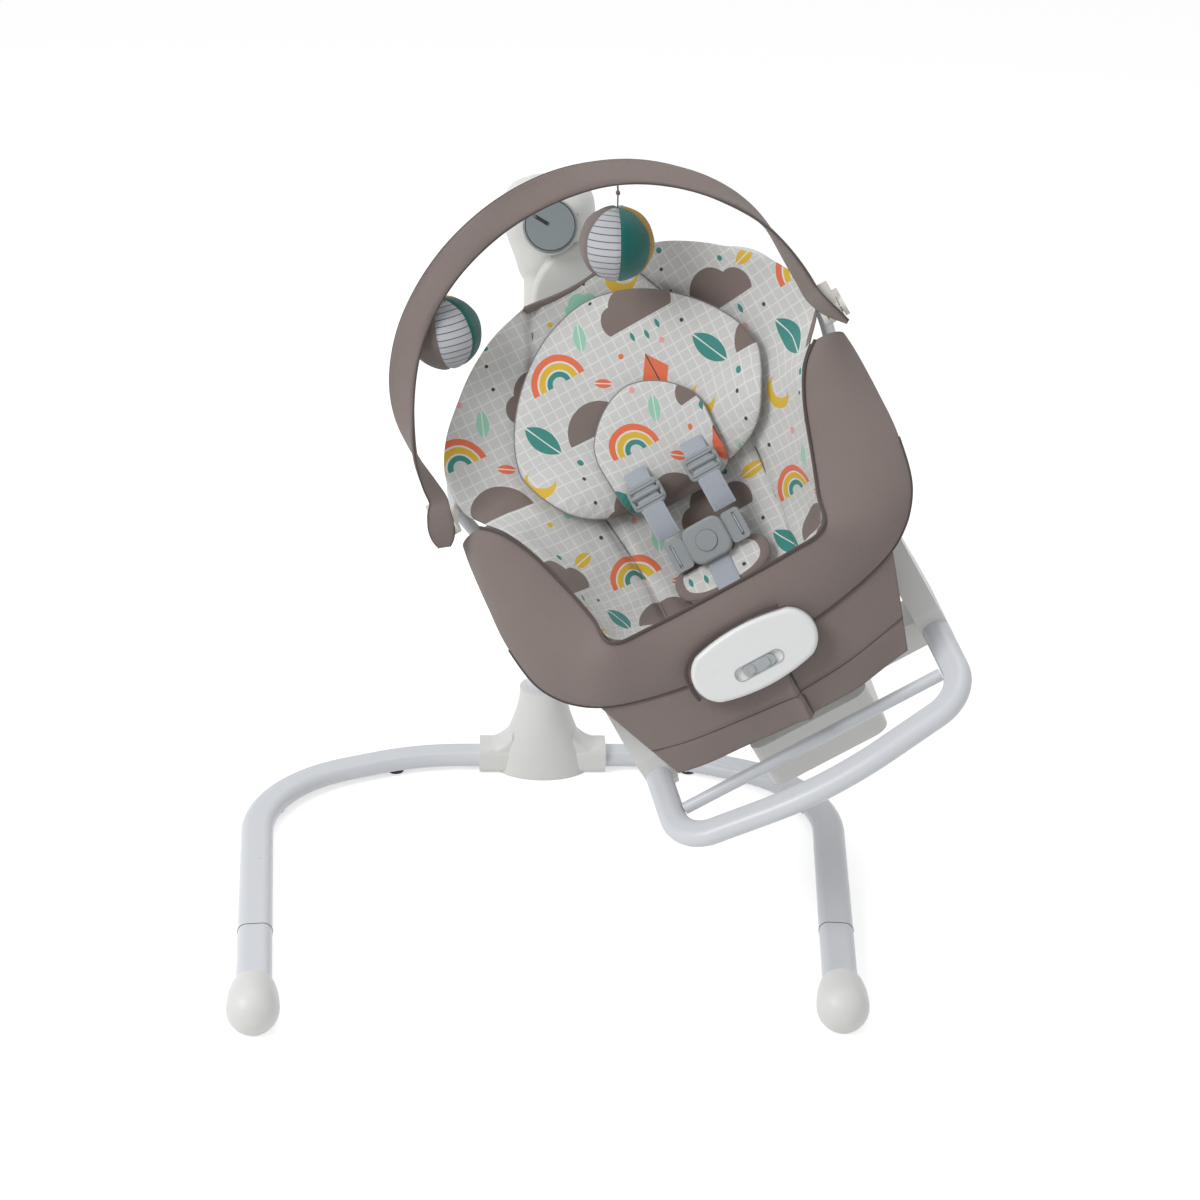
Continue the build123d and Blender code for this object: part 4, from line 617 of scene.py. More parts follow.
def liner_spot(side, row):
    """The point of the liner's face at a distance along a row's arc."""
    side, row = np.broadcast_arrays(np.asarray(side, float), np.asarray(row, float))
    mid_y, mid_z, edge_x, edge_y, edge_z = np.moveaxis(flow(LINER_ROWS, row), -1, 0)
    rise = np.hypot(edge_y - mid_y, edge_z - mid_z)
    radius, _ = liner_arc(row)
    high = radius * (1 - np.cos(side / radius)) / rise
    return np.stack((radius * np.sin(side / radius), mid_y + (edge_y - mid_y) * high,
                     mid_z + (edge_z - mid_z) * high), -1)


def liner_out(side, row):
    """The direction out of the liner's face, toward the baby."""
    along = liner_spot(side, np.minimum(row + 0.04, 15)) - liner_spot(side, np.maximum(row - 0.04, 0))
    over = liner_spot(side + 1.0, row) - liner_spot(side - 1.0, row)
    return -unit(np.cross(over, along))


def row_runs():
    """Distance down the middle of the liner at each row, in millimetres."""
    steps = np.linspace(0, 15, 301)
    return steps, run_along(liner_spot(np.zeros(301), steps))


RUN_ROWS, RUN_MM = row_runs()
print("liner", round(RUN_MM[-1]), "mm down its middle")

# %% [markdown]
# Now the grid itself. Wrinkles come from seeded waves, small ones riding on larger ones, and the pad is
# drawn in along both seams. The same rows, set back by the padding, make the plain back, and the edge is
# rounded between.

# %% Liner
LINER_THICK, NOTCH_DIP = 14.0, 8.0
SEAM_PULL, SEAM_WIDE = 7.0, 7.0
SEAM_ROWS = np.array((50, 58, 68, 78, 88, 94, 96, 95, 92, 88, 84, 80, 77, 74, 72, 70), float)[:, None]
FACE_COLUMNS = 97
share = np.linspace(-1, 1, FACE_COLUMNS)[None]
start = NOTCH_DIP * (1 - share ** 2)
rows = np.interp(start + (RUN_MM[-1] - start) * np.linspace(0, 1, 121)[:, None], RUN_MM, RUN_ROWS)
_, half_run = liner_arc(rows)
side = share * half_run
run = np.interp(rows, RUN_ROWS, RUN_MM)
seam = flow(SEAM_ROWS, rows)[..., 0]
apart = np.abs(np.abs(side) - seam) / SEAM_WIDE
puff = -SEAM_PULL * np.exp(-apart ** 2) + 1.8 * rough_field(side / 34, run / 34, 5)
puff += 0.8 * rough_field(side / 13, run / 13, 6)
puff += 1.2 * np.exp(-apart / 1.6) * np.sin(run / 7.5 + 2 * rough_field(side / 90, run / 60, 8))
edge_round = 1 - np.clip((np.abs(share) - 0.93) / 0.07, 0, 1) ** 2
front = liner_spot(side, rows) + liner_out(side, rows) * (puff * edge_round)[..., None]
back_round = np.sqrt(np.clip(1.0 - np.abs(share) ** 14, 0, 1))
back_depth = -LINER_THICK * (0.35 + 0.65 * (1 - share ** 2)) * back_round - 0.5
back = liner_spot(side, rows) + liner_out(side, rows) * back_depth[..., None]
loop = np.concatenate([front, back[:, ::-1]], axis=1)
flat_front = np.stack(np.broadcast_arrays(side / 1000, -run / 1000), -1)
flat = np.concatenate([flat_front, flat_front[:, ::-1], flat_front[:, :1]], axis=1)
liner = grid_mesh("printed_seat_pad", swayed(loop), flat, [PRINT_LINER, BACKING],
                  lambda row, column: int(FACE_COLUMNS <= column < 2 * FACE_COLUMNS - 1))
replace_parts(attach(liner, "seat"), "seat_liner")
print("liner", len(liner.data.vertices), "points")

# %% [markdown]
# A fine cord lies in each of the two long seams, and three seams join the panels of the plain back. A
# thread that is sunk in a fold shows as a thin line with a shadow, which a thin tube gives from every
# side.

# %% Liner seams
seam_rows = np.linspace(1.6, 13.8, 90)
SEAM_CORD = plain_cloth("seam_cord", (150, 148, 146))
for word, sign in (("left", -1), ("right", 1)):
    seam_side = sign * flow(SEAM_ROWS, seam_rows)[:, 0]
    line = liner_spot(seam_side, seam_rows) - liner_out(seam_side, seam_rows) * 6.4
    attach(tube(f"liner_seam_{word}", swayed(line), 0.0009, SEAM_CORD, 6), "seat")
for word, column in (("left", 22), ("right", 74)):
    stitched = tube(f"back_seam_{word}", swayed(back[4:-4, column]), 0.0011, SEAM_CORD, 6)
    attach(stitched, "seat")
halfway = len(back) * 45 // 100
stitched = tube("back_seam_across", swayed(back[halfway, 22:75]), 0.0011, SEAM_CORD, 6)
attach(stitched, "seat")
print("liner seams: 2 in front, 3 behind")

# %% [markdown]
# The top of the back dips to clear the drive head, and a taupe binding is sewn over that raw edge. A
# flattened tube along the edge, wide enough to wrap the pad, is what a folded binding looks like.

# %% Notch binding
notch_side = np.linspace(-60, 60, 49)
notch_row = np.interp(NOTCH_DIP * (1 - (notch_side / 60) ** 2) + 0.5, RUN_MM, RUN_ROWS)
notch = liner_spot(notch_side, notch_row) - liner_out(notch_side, notch_row) * LINER_THICK * 0.35
notch_way = swayed(notch + liner_out(notch_side, notch_row)) - swayed(notch)
notch_across = np.cross(np.array((0.855, 0, 0.519)), notch_way.mean(0))
binding = tube("notch_binding", swayed(notch), 0.0078, TAUPE, 14, 0.52, notch_across)
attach(binding, "seat")
print("notch binding", len(binding.data.vertices), "points")

# %% [markdown]
# The head pillow and the body support are stuffed pads that lie on the back. Each is drawn in rings from
# its middle to its seam and back again underneath, so the seam is the outermost ring. The stuffing swells
# the middle, and the short puckers at the seam are where the two cloths are gathered by the stitching.


# %% Stuffed pads
def stuffed(name, outline, middle, lift, thick, material, seed, gap=1.5):
    """A pad lying on the liner; outline gives (side, row) steps from the middle for each direction."""
    turns = np.linspace(0, 2 * math.pi, 128, endpoint=False)
    reach = np.array([outline(turn) for turn in turns])
    ring = np.concatenate([np.linspace(0.02, 0.9, 16), (0.94, 0.97, 0.99, 1.0)])
    rings = np.concatenate([ring, ring[-2::-1]])
    above = np.concatenate([np.ones(len(ring)), np.zeros(len(ring) - 1)])
    side = middle[0] + rings[:, None] * reach[None, :, 0]
    run = middle[1] + rings[:, None] * reach[None, :, 1]
    row = np.interp(run, RUN_MM, RUN_ROWS)
    swell = np.power(np.clip(1 - rings ** 2.6, 0, 1), 0.55)[:, None]
    pucker = 0.9 * np.sin(turns * 41 + 3 * rough_field(np.cos(turns), np.sin(turns), seed))[None]
    near = np.exp(-((rings - 0.93) / 0.06) ** 2)[:, None]
    wrinkle = 1.1 * rough_field(side / 26, run / 26, seed + 1) * (1 - rings[:, None] ** 6)
    top = thick * (0.35 + 0.65 * swell) + near * pucker + wrinkle * swell
    height = lift(side, run) + gap + np.where(above[:, None] > 0, top, thick * 0.35 * (1 - swell))
    points = liner_spot(side, row) + liner_out(side, row) * height[..., None]
    flat = np.stack((side / 1000, -run / 1000), -1)
    flat = np.concatenate([flat, flat[:, :1]], axis=1)
    return grid_mesh(name, swayed(points), flat, [material]), points[len(ring) - 1]


def egg(half, up, down, turn, above=1.75, below=2.9):
    """A point round an egg shape, as (side, run): fuller below the middle than above it."""
    c, s = math.cos(turn), math.sin(turn)
    power = 2 / (above if s > 0 else below)
    reach = -up if s > 0 else down
    return math.copysign(abs(c) ** power, c) * half, reach * abs(s) ** power


PILLOW_SIZE, PILLOW_AT = (151, 141, 82), 170
SUPPORT_SIZE, SUPPORT_AT = (77, 74, 54), 206


def pillow_face(side, run):
    """How far the pillow's face stands off the liner."""
    half, up, down = PILLOW_SIZE
    off = run - PILLOW_AT
    power = np.where(off < 0, 1.75, 2.9)
    lengthwise = np.abs(off / np.where(off < 0, up, down))
    reach = ((np.abs(side) / half) ** power + lengthwise ** power) ** (1 / power)
    return 3.0 + 27 * (0.35 + 0.65 * np.power(np.clip(1 - reach ** 2.6, 0, 1), 0.55))


pillow, pillow_rim = stuffed("stuffed_head_pillow", lambda turn: egg(*PILLOW_SIZE, turn), (0, PILLOW_AT),
                             lambda side, run: np.full_like(side, 1.5), 27, PRINT_PILLOW, 21)
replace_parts(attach(pillow, "seat"), "head_pillow")
support, support_rim = stuffed("stuffed_body_support", lambda turn: egg(*SUPPORT_SIZE, turn, 1.75, 4.0),
                               (0, SUPPORT_AT), pillow_face, 12, PRINT_SUPPORT, 33)
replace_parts(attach(support, "seat"), "body_support")
for name, rim in (("pillow_seam", pillow_rim), ("support_seam", support_rim)):
    loop = np.concatenate([rim, rim[:1]])
    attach(tube(name, swayed(loop), 0.0008, SEAM_CORD, 6), "seat")
print("pads", len(pillow.data.vertices), "and", len(support.data.vertices), "points")

# %% [markdown]
# The bolster is the taupe padded band that wraps the front of the seat and rises along both sides like a
# horseshoe. Its rows go from the top of one side round the lip to the other; each row runs from the piped
# inner edge over the crown to the outer seam, and back behind. The rows are the frame's own, so the band
# sits where its solid does.

# %% Bolster
BOLSTER_HALF = np.array((
    (0, -405, 355, 0, -424, 286, 4), (75, -406, 357, 92, -412, 290, 6),
    (117, -408, 364, 166, -396, 306, 9), (127, -368, 379, 206, -380, 340, 12),
    (141, -330, 408, 221, -345, 384, 13), (157, -302, 447, 224, -305, 422, 12),
    (174, -285, 474, 224, -272, 456, 10), (194, -266, 486, 222, -256, 474, 6)), float)
mirror = BOLSTER_HALF[:0:-1] * np.array((-1, 1, 1, -1, 1, 1, 1))
BOLSTER_ROWS = np.concatenate([mirror, BOLSTER_HALF])
BOLSTER_DEPTH = 14.0
bolster_at = np.linspace(0, 14, 169)
bolster = flow(BOLSTER_ROWS, bolster_at)
inner, outer, crown = bolster[:, :3], bolster[:, 3:6], bolster[:, 6:]
over = unit(outer - inner)
inner = inner - over * 1.0
middle = (inner + outer) / 2
along = unit(np.gradient(middle, axis=0))
bolster_out = -unit(np.cross(along, over))
share = (1 - np.cos(np.linspace(0, math.pi, 33))) / 2
bulge = 4 * share * (1 - share)
roll = np.power(bulge, 0.4) * 3.2
wide = np.linalg.norm(outer - inner, axis=1)
crease = rough_field(np.cumsum(np.ones(169))[:, None] / 9, share[None] * 2.2, 61, low=0.4, high=1.4)
stand = crown * bulge + roll * (1 + 0.25 * crease) + 1.1 * crease * bulge
laid = inner[:, None] + (outer - inner)[:, None] * share[None, :, None]
face = laid + bolster_out[:, None] * stand[..., None]
rear = laid - bolster_out[:, None] * (BOLSTER_DEPTH * bulge * 0.92)[None, :, None]
loop = np.concatenate([face, rear[:, ::-1]], axis=1)
length = run_along(middle)
flat = np.stack(np.broadcast_arrays(length[:, None] / 1000, share[None] * wide[:, None] / 1000), -1)
flat = np.concatenate([flat, flat[:, ::-1], flat[:, :1]], axis=1)
band = grid_mesh("padded_front_band", swayed(loop), flat, [TAUPE])
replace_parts(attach(band, "seat"), "front_bolster")
print("bolster", len(band.data.vertices), "points")

# %% [markdown]
# The band's inner edge is piped, and a seam runs along its lower edge. A narrow gusset of lining joins
# the liner's edge to the band under the piping, so no daylight shows between them: each point of the
# band's edge is joined to the nearest point of the liner's edge, and the joined points are evened out
# round the corners.

# %% Bolster edges
piping = tube("inner_piping", swayed(inner + bolster_out * 2.0), 0.0019, PIPING_AND_SHADE, 8)
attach(piping, "seat")
seam_cord = tube("lower_seam", swayed((outer + bolster_out * 1.0)[36:133]), 0.0011, PIPING_AND_SHADE, 8)
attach(seam_cord, "seat")
edge_rows = np.linspace(6, 15, 120)
edge_run = liner_arc(edge_rows)[1] * 0.96
foot_side, foot_rows = np.linspace(-0.96, 0.96, 80) * liner_arc(np.array(15.0))[1], np.full(80, 14.7)
borders = ((-edge_run, edge_rows), (edge_run, edge_rows), (foot_side, foot_rows))
rim = np.concatenate([liner_spot(side, row) - 2.0 * liner_out(side, row) for side, row in borders])
near = np.array([rim[np.argmin(np.linalg.norm(rim - spot, axis=1))] for spot in inner])
for _ in range(6):
    near[1:-1] = (near[:-2] + 2 * near[1:-1] + near[2:]) / 4
tuck = inner + over * 9 - bolster_out * 3.0
sunk = bolster_out * 1.2
loop = np.stack((near, (near + tuck) / 2, tuck, tuck - sunk, (near + tuck) / 2 - sunk, near - sunk), axis=1)
flat = np.stack(np.broadcast_arrays(np.linspace(0, 0.03, 7)[None], length[:, None] / 1000), -1)
gusset = grid_mesh("liner_gusset", swayed(loop), flat, [BACKING])
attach(gusset, "seat")
print("piping", round(length[-1]), "mm, gusset", len(gusset.data.vertices), "points")

# %% [markdown]
# Below the band hangs a skirt of the same cloth. It is sewn to the band's lower seam, narrows to a
# stitched hem and is folded into one pleat beside the panel. It is a single sheet, so it is drawn as one
# and given a cloth's thickness by a Solidify modifier.

# %% Skirt
skirt_x = np.linspace(-1, 1, 145)[None]
skirt_v = np.linspace(0, 1, 45)[:, None]
top_at = np.interp(skirt_x[0] * 164, outer[:, 0][40:129], bolster_at[40:129])
top = flow(BOLSTER_ROWS, top_at)[:, 3:6]
hem = np.stack((skirt_x[0] * 129, -431 + 17 * skirt_x[0] ** 2, 205 + 3 * skirt_x[0] ** 2), -1)
sheet = top[None] * (1 - skirt_v[..., None]) + hem[None] * skirt_v[..., None]
belly = 4 * skirt_v * (1 - skirt_v)
fold = skirt_x * 150 - 14 - 6 * skirt_v
pleat = np.where(fold < 0, np.exp(fold / 14), np.exp(-fold / 1.6)) * skirt_v ** 0.5
drape = 2.2 * rough_field(skirt_x * 4.4, skirt_v * 1.2, 77) * skirt_v
stitch = -1.1 * np.exp(-((skirt_v - 0.63 - 0.05 * skirt_x ** 2) / 0.018) ** 2)
sheet[..., 1] -= 2.0 * belly + 11 * pleat + drape + stitch
sheet[..., 1] += 1.5
flat = np.stack(np.broadcast_arrays(skirt_x * 0.15, -skirt_v * 0.082), -1)
skirt = grid_mesh("hanging_skirt", swayed(sheet), flat, [TAUPE], wrap=False)
thicken = skirt.modifiers.new("cloth thickness", "SOLIDIFY")
thicken.thickness, thicken.offset = 0.0018, 0.0
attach(skirt, "seat")
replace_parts(skirt, "front_skirt")
hem_line = tube("hem_stitching", swayed(sheet[29] + np.array((0, -1.1, 0))), 0.0005, PIPING_AND_SHADE, 6)
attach(hem_line, "seat")
# The dark cord laid along the pleat's fold is painted shade in the crease.
crease = np.stack([sheet[row, int(np.searchsorted(fold[row], 2.5))] for row in range(12, 45)])
pleat_shade_line = tube("pleat_painted_shade", swayed(crease + np.array((0, -1.4, 0))), 0.0011, PIPING_AND_SHADE, 6)
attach(pleat_shade_line, "seat")

# %% [markdown]
# Harness webbing is flat, so each strap is a thin ribbon along its route with rounded selvedges. Routes
# are given on the line of the back: distance down it and lift off it.

# %% Harness
RIGHT = np.array((1.0, 0, 0))
BACK_DOWN = unit(np.array((0.0, -166 + 98, 474 - 622)))
BACK_OUT = np.array((0.0, BACK_DOWN[2], -BACK_DOWN[1]))
BACK_TOP = np.array((0.0, -98.0, 622.0))


def harness_spot(x, down, lift):
    """A point beside the line of the back."""
    parts = np.broadcast_arrays(*[np.asarray(value, float) for value in (x, down, lift)])
    x, down, lift = [value[..., None] for value in parts]
    return BACK_TOP + x * RIGHT + down * BACK_DOWN + lift * BACK_OUT


def ribbon(name, spine, facing, width, thick, material):
    """A strap along points in millimetres; facing is the direction out of its face."""
    fine = flow(spine, np.linspace(0, len(spine) - 1, 41))
    way = unit(np.gradient(fine, axis=0))
    facing = unit(np.broadcast_to(np.asarray(facing, float), way.shape))
    wide = unit(np.cross(way, facing))
    face = unit(np.cross(wide, way))
    face = face * np.sign((face * facing).sum(-1, keepdims=True))
    span = np.concatenate([np.linspace(-1, 1, 11), np.linspace(1, -1, 11)])
    lift = np.concatenate([np.ones(11), -np.ones(11)]) * np.sqrt(np.clip(1 - np.abs(span) ** 10, 0, 1))
    points = (fine[:, None] + wide[:, None] * (span * width / 2)[None, :, None]
              + face[:, None] * (lift * thick / 2)[None, :, None])
    flat = np.stack(np.broadcast_arrays(span[None] * width / 2000, run_along(fine)[:, None] / 1000), -1)
    flat = np.concatenate([flat, flat[:, :1]], axis=1)
    return grid_mesh(name, swayed(points), flat, [material])


WEB, WEB_THICK = 25.0, 2.2
shoulder = []
for word, x in (("left", -33), ("right", 33)):
    spine = harness_spot(x, (214, 228, 242, 262, 280, 291.5), (46, 49.4, 50.2, 51.8, 51, 47.5))
    strap = ribbon(f"shoulder_webbing_{word}", spine, BACK_OUT, WEB, WEB_THICK, WEBBING)
    shoulder.append(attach(strap, "seat"))
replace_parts(shoulder[0], "shoulder_straps")
waist = []
for word, sign in (("left", -1), ("right", 1)):
    spine = harness_spot((sign * 36, sign * 36, sign * 37.5, sign * 41), 313, (49.5, 40, 28, 13))
    strap = ribbon(f"waist_webbing_{word}", spine, (sign * 1.0, 0, 0), 22, WEB_THICK, WEBBING)
    waist.append(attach(strap, "seat"))
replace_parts(waist[0], "waist_straps")
print("webbing:", len(shoulder) + len(waist), "straps")

# %% [markdown]
# The crotch pad is a small bound cushion under the buckle, and the crotch strap crosses it. It is drawn
# in rings as the pads are; the outer rings take the taupe of the binding.

# %% Crotch pad
CROTCH = np.array(((324, 31, 26), (331, 34, 44), (345, 41, 53), (358, 48, 52), (366, 52, 46)), float)
crotch_ends = [harness_spot(0, *CROTCH[end, :2]) for end in (0, -1)]
crotch_way = unit(crotch_ends[1] - crotch_ends[0])
crotch_out = np.array((0.0, crotch_way[2], -crotch_way[1]))
crotch_middle = harness_spot(0, 345, 41.5)
turns = np.linspace(0, 2 * math.pi, 96, endpoint=False)
ring = np.concatenate([np.linspace(0.03, 0.8, 12), (0.86, 0.92, 0.97, 1.0)])
rings = np.concatenate([ring, ring[-2::-1]])
above = np.concatenate([np.ones(len(ring)), -np.ones(len(ring) - 1)])
oval_x = squared(np.cos(turns), 0.8) * 54
oval_y = squared(np.sin(turns), 0.75) * 25
swell = np.power(np.clip(1 - rings ** 4, 0, 1), 0.5)
points = (crotch_middle + (rings[:, None] * oval_x)[..., None] * RIGHT
          + (rings[:, None] * oval_y)[..., None] * crotch_way
          + (above * swell * 5.4)[:, None, None] * crotch_out)
flat = np.stack((rings[:, None] * oval_x, -rings[:, None] * oval_y), -1) / 1000
flat = np.concatenate([flat, flat[:, :1]], axis=1)
crotch = grid_mesh("crotch_cushion", swayed(points), flat, [PRINT_SUPPORT, TAUPE],
                   lambda row, column: int(rings[row] > 0.79))
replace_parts(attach(crotch, "seat"), "crotch_pad")
strap_top = harness_spot(0, 334.1, 35.5)
STRAP_LIFTS = ((2, 9), (12, 8), (24, 7.6), (36, 7.4), (43, 6.4))
spine = np.array([strap_top + crotch_out * lift + crotch_way * go for go, lift in STRAP_LIFTS])
crotch_strap = ribbon("crotch_webbing", spine, crotch_out, WEB, WEB_THICK, WEBBING)
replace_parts(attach(crotch_strap, "seat"), "crotch_strap")
print("crotch cushion", len(crotch.data.vertices), "points")

# %% [markdown]
# Each shoulder strap runs through a ladder adjuster: a moulded frame with a bar across it that grips the
# webbing. A frame is a bent rod, so it is drawn as one, a tube round a rounded rectangle with two bars
# across.


# %% Strap adjusters
def rounded_loop(half_x, half_y, corner, steps=8):
    """Points round a rectangle with round corners, closed."""
    points = []
    for quarter, (sx, sy) in enumerate(((1, 1), (-1, 1), (-1, -1), (1, -1))):
        for turn in np.linspace(quarter, quarter + 1, steps) * math.pi / 2:
            points.append((sx * (half_x - corner) + corner * math.cos(turn),
                           sy * (half_y - corner) + corner * math.sin(turn)))
    return np.array(points + points[:1])


ADJUSTER_BARS = (("grip", 240.5, 52.4, 0.0028), ("foot", 250.0, 51.6, 0.0021), ("head", 233.5, 50.8, 0.0019))
for word, x in (("left", -33), ("right", 33)):
    loop = rounded_loop(16.4, 11.4, 4)
    loop = harness_spot(x + loop[:, 0], 242 - loop[:, 1], 50.2)
    rim = tube(f"adjuster_frame_{word}", swayed(loop), 0.0024, FINISHES["buckle_plastic"], 12)
    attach(rim, "seat")
    for part, down, lift, thick in ADJUSTER_BARS:
        line = harness_spot(x + np.linspace(-16, 16, 9), down, lift)
        bar = tube(f"adjuster_{part}_{word}", swayed(line), thick, FINISHES["buckle_plastic"], 12)
        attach(bar, "seat")
    if x < 0:
        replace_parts(rim, "strap_adjusters")
print("adjusters: 2, of 4 pieces each")

# %% [markdown]
# Small trims finish the hard parts. The dial has a dark ring round its face and a short pointer near its
# rim. Both are thin tubes laid on the tilted face, so they turn with the dial.

# %% Dial trims
BLACK = FINISHES["black_plastic"]
DIAL_MIDDLE, DIAL_TILT = np.array((0.0, -68.0, 680.0)), math.radians(15)
dial_out = np.array((0.0, -math.cos(DIAL_TILT), math.sin(DIAL_TILT)))
dial_up = np.array((0.0, math.sin(DIAL_TILT), math.cos(DIAL_TILT)))
turns = np.linspace(0, 2 * math.pi, 97)
ring = (DIAL_MIDDLE + dial_out * 4.9 + np.outer(np.cos(turns), (26.4, 0, 0))
        + np.outer(np.sin(turns), dial_up * 26.4))
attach(tube("dial_ring", ring / 1000, 0.0007, BLACK, 8), "dial")
POINTER_TURN = math.radians(150)
point_way = np.array((math.cos(POINTER_TURN), 0, 0)) + dial_up * math.sin(POINTER_TURN)
point_middle = DIAL_MIDDLE + np.array((-9.0, 0, 0)) + dial_up * 5.2 + dial_out * 4.6
pointer = point_middle + np.outer(np.linspace(-7.4, 7.4, 9), point_way)
pointer = tube("dial_pointer", pointer / 1000, 0.0023, BLACK, 12, 0.5, dial_out)
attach(pointer, "dial")
print("dial trims: ring and pointer")

# %% [markdown]
# The panel sits in a pocket of the band. Above the panel a dark cord runs along the pocket's edge: partly
# its piping, partly painted shade in the gap between the panel and the cloth. The switch has a fine
# surround. The front legs plug into the rear tubes, and a thin dark line shows each joint.

# %% Panel trims and leg lines
PANEL_MIDDLE, PANEL_TILT = np.array((0.0, -429.0, 291.0)), math.radians(12.7)
panel_out = np.array((0.0, -math.cos(PANEL_TILT), math.sin(PANEL_TILT)))
panel_up = np.array((0.0, math.sin(PANEL_TILT), math.cos(PANEL_TILT)))
# The pocket's dark edge cord: its piping, with painted shade of the gap under it.
turns = np.radians(np.linspace(58, 196, 60))
oval_x = squared(np.cos(turns), 0.72) * 69.5
oval_y = squared(np.sin(turns), 0.72) * 36
lip = PANEL_MIDDLE + np.outer(oval_x, RIGHT) + np.outer(oval_y, panel_up) + panel_out * 5.0
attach(tube("pocket_piping_and_gap_shade", swayed(lip), 0.0024, PIPING_AND_SHADE, 8), "seat")
turns = np.linspace(0, 2 * math.pi, 73)
slot_u = 19 * np.sign(np.cos(turns)) * (np.abs(np.cos(turns)) > 1e-9) + 6.9 * np.cos(turns)
slot_v = 6.9 * np.sin(turns) - 10
slot = PANEL_MIDDLE + np.outer(slot_u, RIGHT) + np.outer(slot_v, panel_up) + panel_out * 10.0
surround = tube("switch_surround", swayed(slot), 0.0006, FINISHES["switch_plastic"], 8)
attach(surround, "seat")
LEG_TOP, LEG_END, LEG_JOINT = np.array((334.0, -82.0)), np.array((287.0, -549.0)), 0.68
leg_way = unit(LEG_END - LEG_TOP)
seat_x, seat_y = LEG_TOP + LEG_JOINT * (LEG_END - LEG_TOP)
turns = np.linspace(0, 2 * math.pi, 65)
slot_x = 8 * np.sign(np.cos(turns)) * (np.abs(np.cos(turns)) > 1e-9) + 10 * np.cos(turns)
slot_z = 10 * np.sin(turns)
for word, sign in (("left", -1), ("right", 1)):
    line = np.stack((sign * (seat_x - slot_x * leg_way[1]), seat_y + slot_x * leg_way[0], 15 + slot_z), -1)
    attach(tube(f"leg_line_{word}", line / 1000, 0.0005, BLACK, 6), "base")
print("panel trims: pocket edge and switch surround; 2 leg lines")

# %% [markdown]
# The toy bar is a flat bow inside a taupe sleeve, and the sleeve is all that shows of it, apart from two
# moulded ends that turn on the clips' pins. The sleeve is a flat band that twists near both ends, where
# it is seen on edge, and ends in a tab before each clip: a round one on the left and a pointed one on the
# right. One table gives its radius and its twist by the angle from the top of the bow, and the tabs
# follow as places and half widths.

# %% Sleeve route
BAR_MIDDLE, BAR_LEAN = np.array((0.0, -260.0, 531.0)), math.radians(21.5)
bar_up = np.array((0.0, math.sin(BAR_LEAN), math.cos(BAR_LEAN)))
bar_front = np.array((0.0, -bar_up[2], bar_up[1]))
SLEEVE = np.array((
    (-90, 217, 125), (-84, 217, 106), (-79, 220, 90), (-72, 223.5, 62), (-66, 225.5, 38), (-58, 227.5, 20),
    (-46, 227, 8), (-30, 223.5, 6), (-15, 220.5, 0), (0, 220, 0), (12, 221, 8), (20, 222, 26),
    (30, 223.5, 33), (42, 223.5, 45), (54, 223.5, 57), (62, 223.5, 68), (69, 220.5, 88), (76, 216, 104),
    (84, 212.5, 117), (90, 213, 122)), float)
SLEEVE_HALF, SLEEVE_THICK = 15.4, 2.6
angles = np.linspace(-90, 90, 46)
bow = np.stack([np.interp(angles, SLEEVE[:, 0], SLEEVE[:, column]) for column in (1, 2)], -1)
for _ in range(2):
    bow[1:-1] = (bow[:-2] + 2 * bow[1:-1] + bow[2:]) / 4
turned = np.radians(angles)
bow = np.stack((bow[:, 0] * np.sin(turned), bow[:, 0] * np.cos(turned), np.full(46, SLEEVE_HALF),
                bow[:, 1], np.zeros(46)), -1)
bow[:4, 2], bow[-4:, 2] = np.linspace(12, SLEEVE_HALF, 4), np.linspace(SLEEVE_HALF, 13.5, 4)
LEFT_TAB = np.array(((-231, -45, 5.5, 150, 15), (-228, -37, 11, 150, 15),
                     (-224, -25, 13.5, 148, 14.5), (-220, -11, 12.5, 140, 10)), float)
RIGHT_TAB = np.array(((215, -11, 12.5, 124, 10), (219, -22, 10.5, 126, 14.5),
                      (225, -34, 6.5, 128, 15), (231, -45, 1.5, 130, 15)), float)
route = np.concatenate([LEFT_TAB, bow, RIGHT_TAB])
route = flow(route, np.linspace(0, len(route) - 1, 5 * len(route)))
spine = BAR_MIDDLE + route[:, :1] * RIGHT + route[:, 1:2] * bar_up + route[:, 4:] * bar_front
print("sleeve route", len(route), "stations")

# %% [markdown]
# The band's section is a flat rounded oblong. At each station it is turned by the twist about the route,
# and a little noise makes it soft. Both edges have a seam.

# %% Sleeve
way = unit(np.gradient(route[:, :2], axis=0))
radial = way[:, 1:] * np.array((-1.0, 0, 0)) + way[:, :1] * bar_up
twist = np.radians(route[:, 3:4])
wide_way = radial * np.cos(twist) - bar_front * np.sin(twist)
thick_way = bar_front * np.cos(twist) + radial * np.sin(twist)
turns = np.linspace(0, 2 * math.pi, 40, endpoint=False)
section_x = squared(np.cos(turns), 0.35)
section_y = squared(np.sin(turns), 0.55)
soft = rough_field(np.arange(len(route))[:, None] / 9, np.cos(turns)[None] * 2, 91)
points = (spine[:, None] + wide_way[:, None] * (route[:, 2:3] * section_x)[..., None]
          + thick_way[:, None] * ((SLEEVE_THICK + 0.7 * soft) * section_y)[..., None])
length = run_along(spine)
around = np.linspace(0, 0.074, 41)
flat = np.stack(np.broadcast_arrays(around[None], length[:, None] / 1000), -1)
sleeve = grid_mesh("toy_bar_sleeve", swayed(points), flat, [TAUPE])
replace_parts(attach(sleeve, "bar"), "toy_bar")
for word, sign in (("inner", -1), ("outer", 1)):
    edge = spine + wide_way * (sign * (route[:, 2:3] + 0.2))
    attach(tube(f"sleeve_{word}_seam", swayed(edge), 0.0009, PIPING_AND_SHADE, 6), "bar")
print("sleeve", round(length[-1]), "mm long")

# %% [markdown]
# Inside the tabs the bow ends in two moulded tongues with round eyes for the clips' pins.

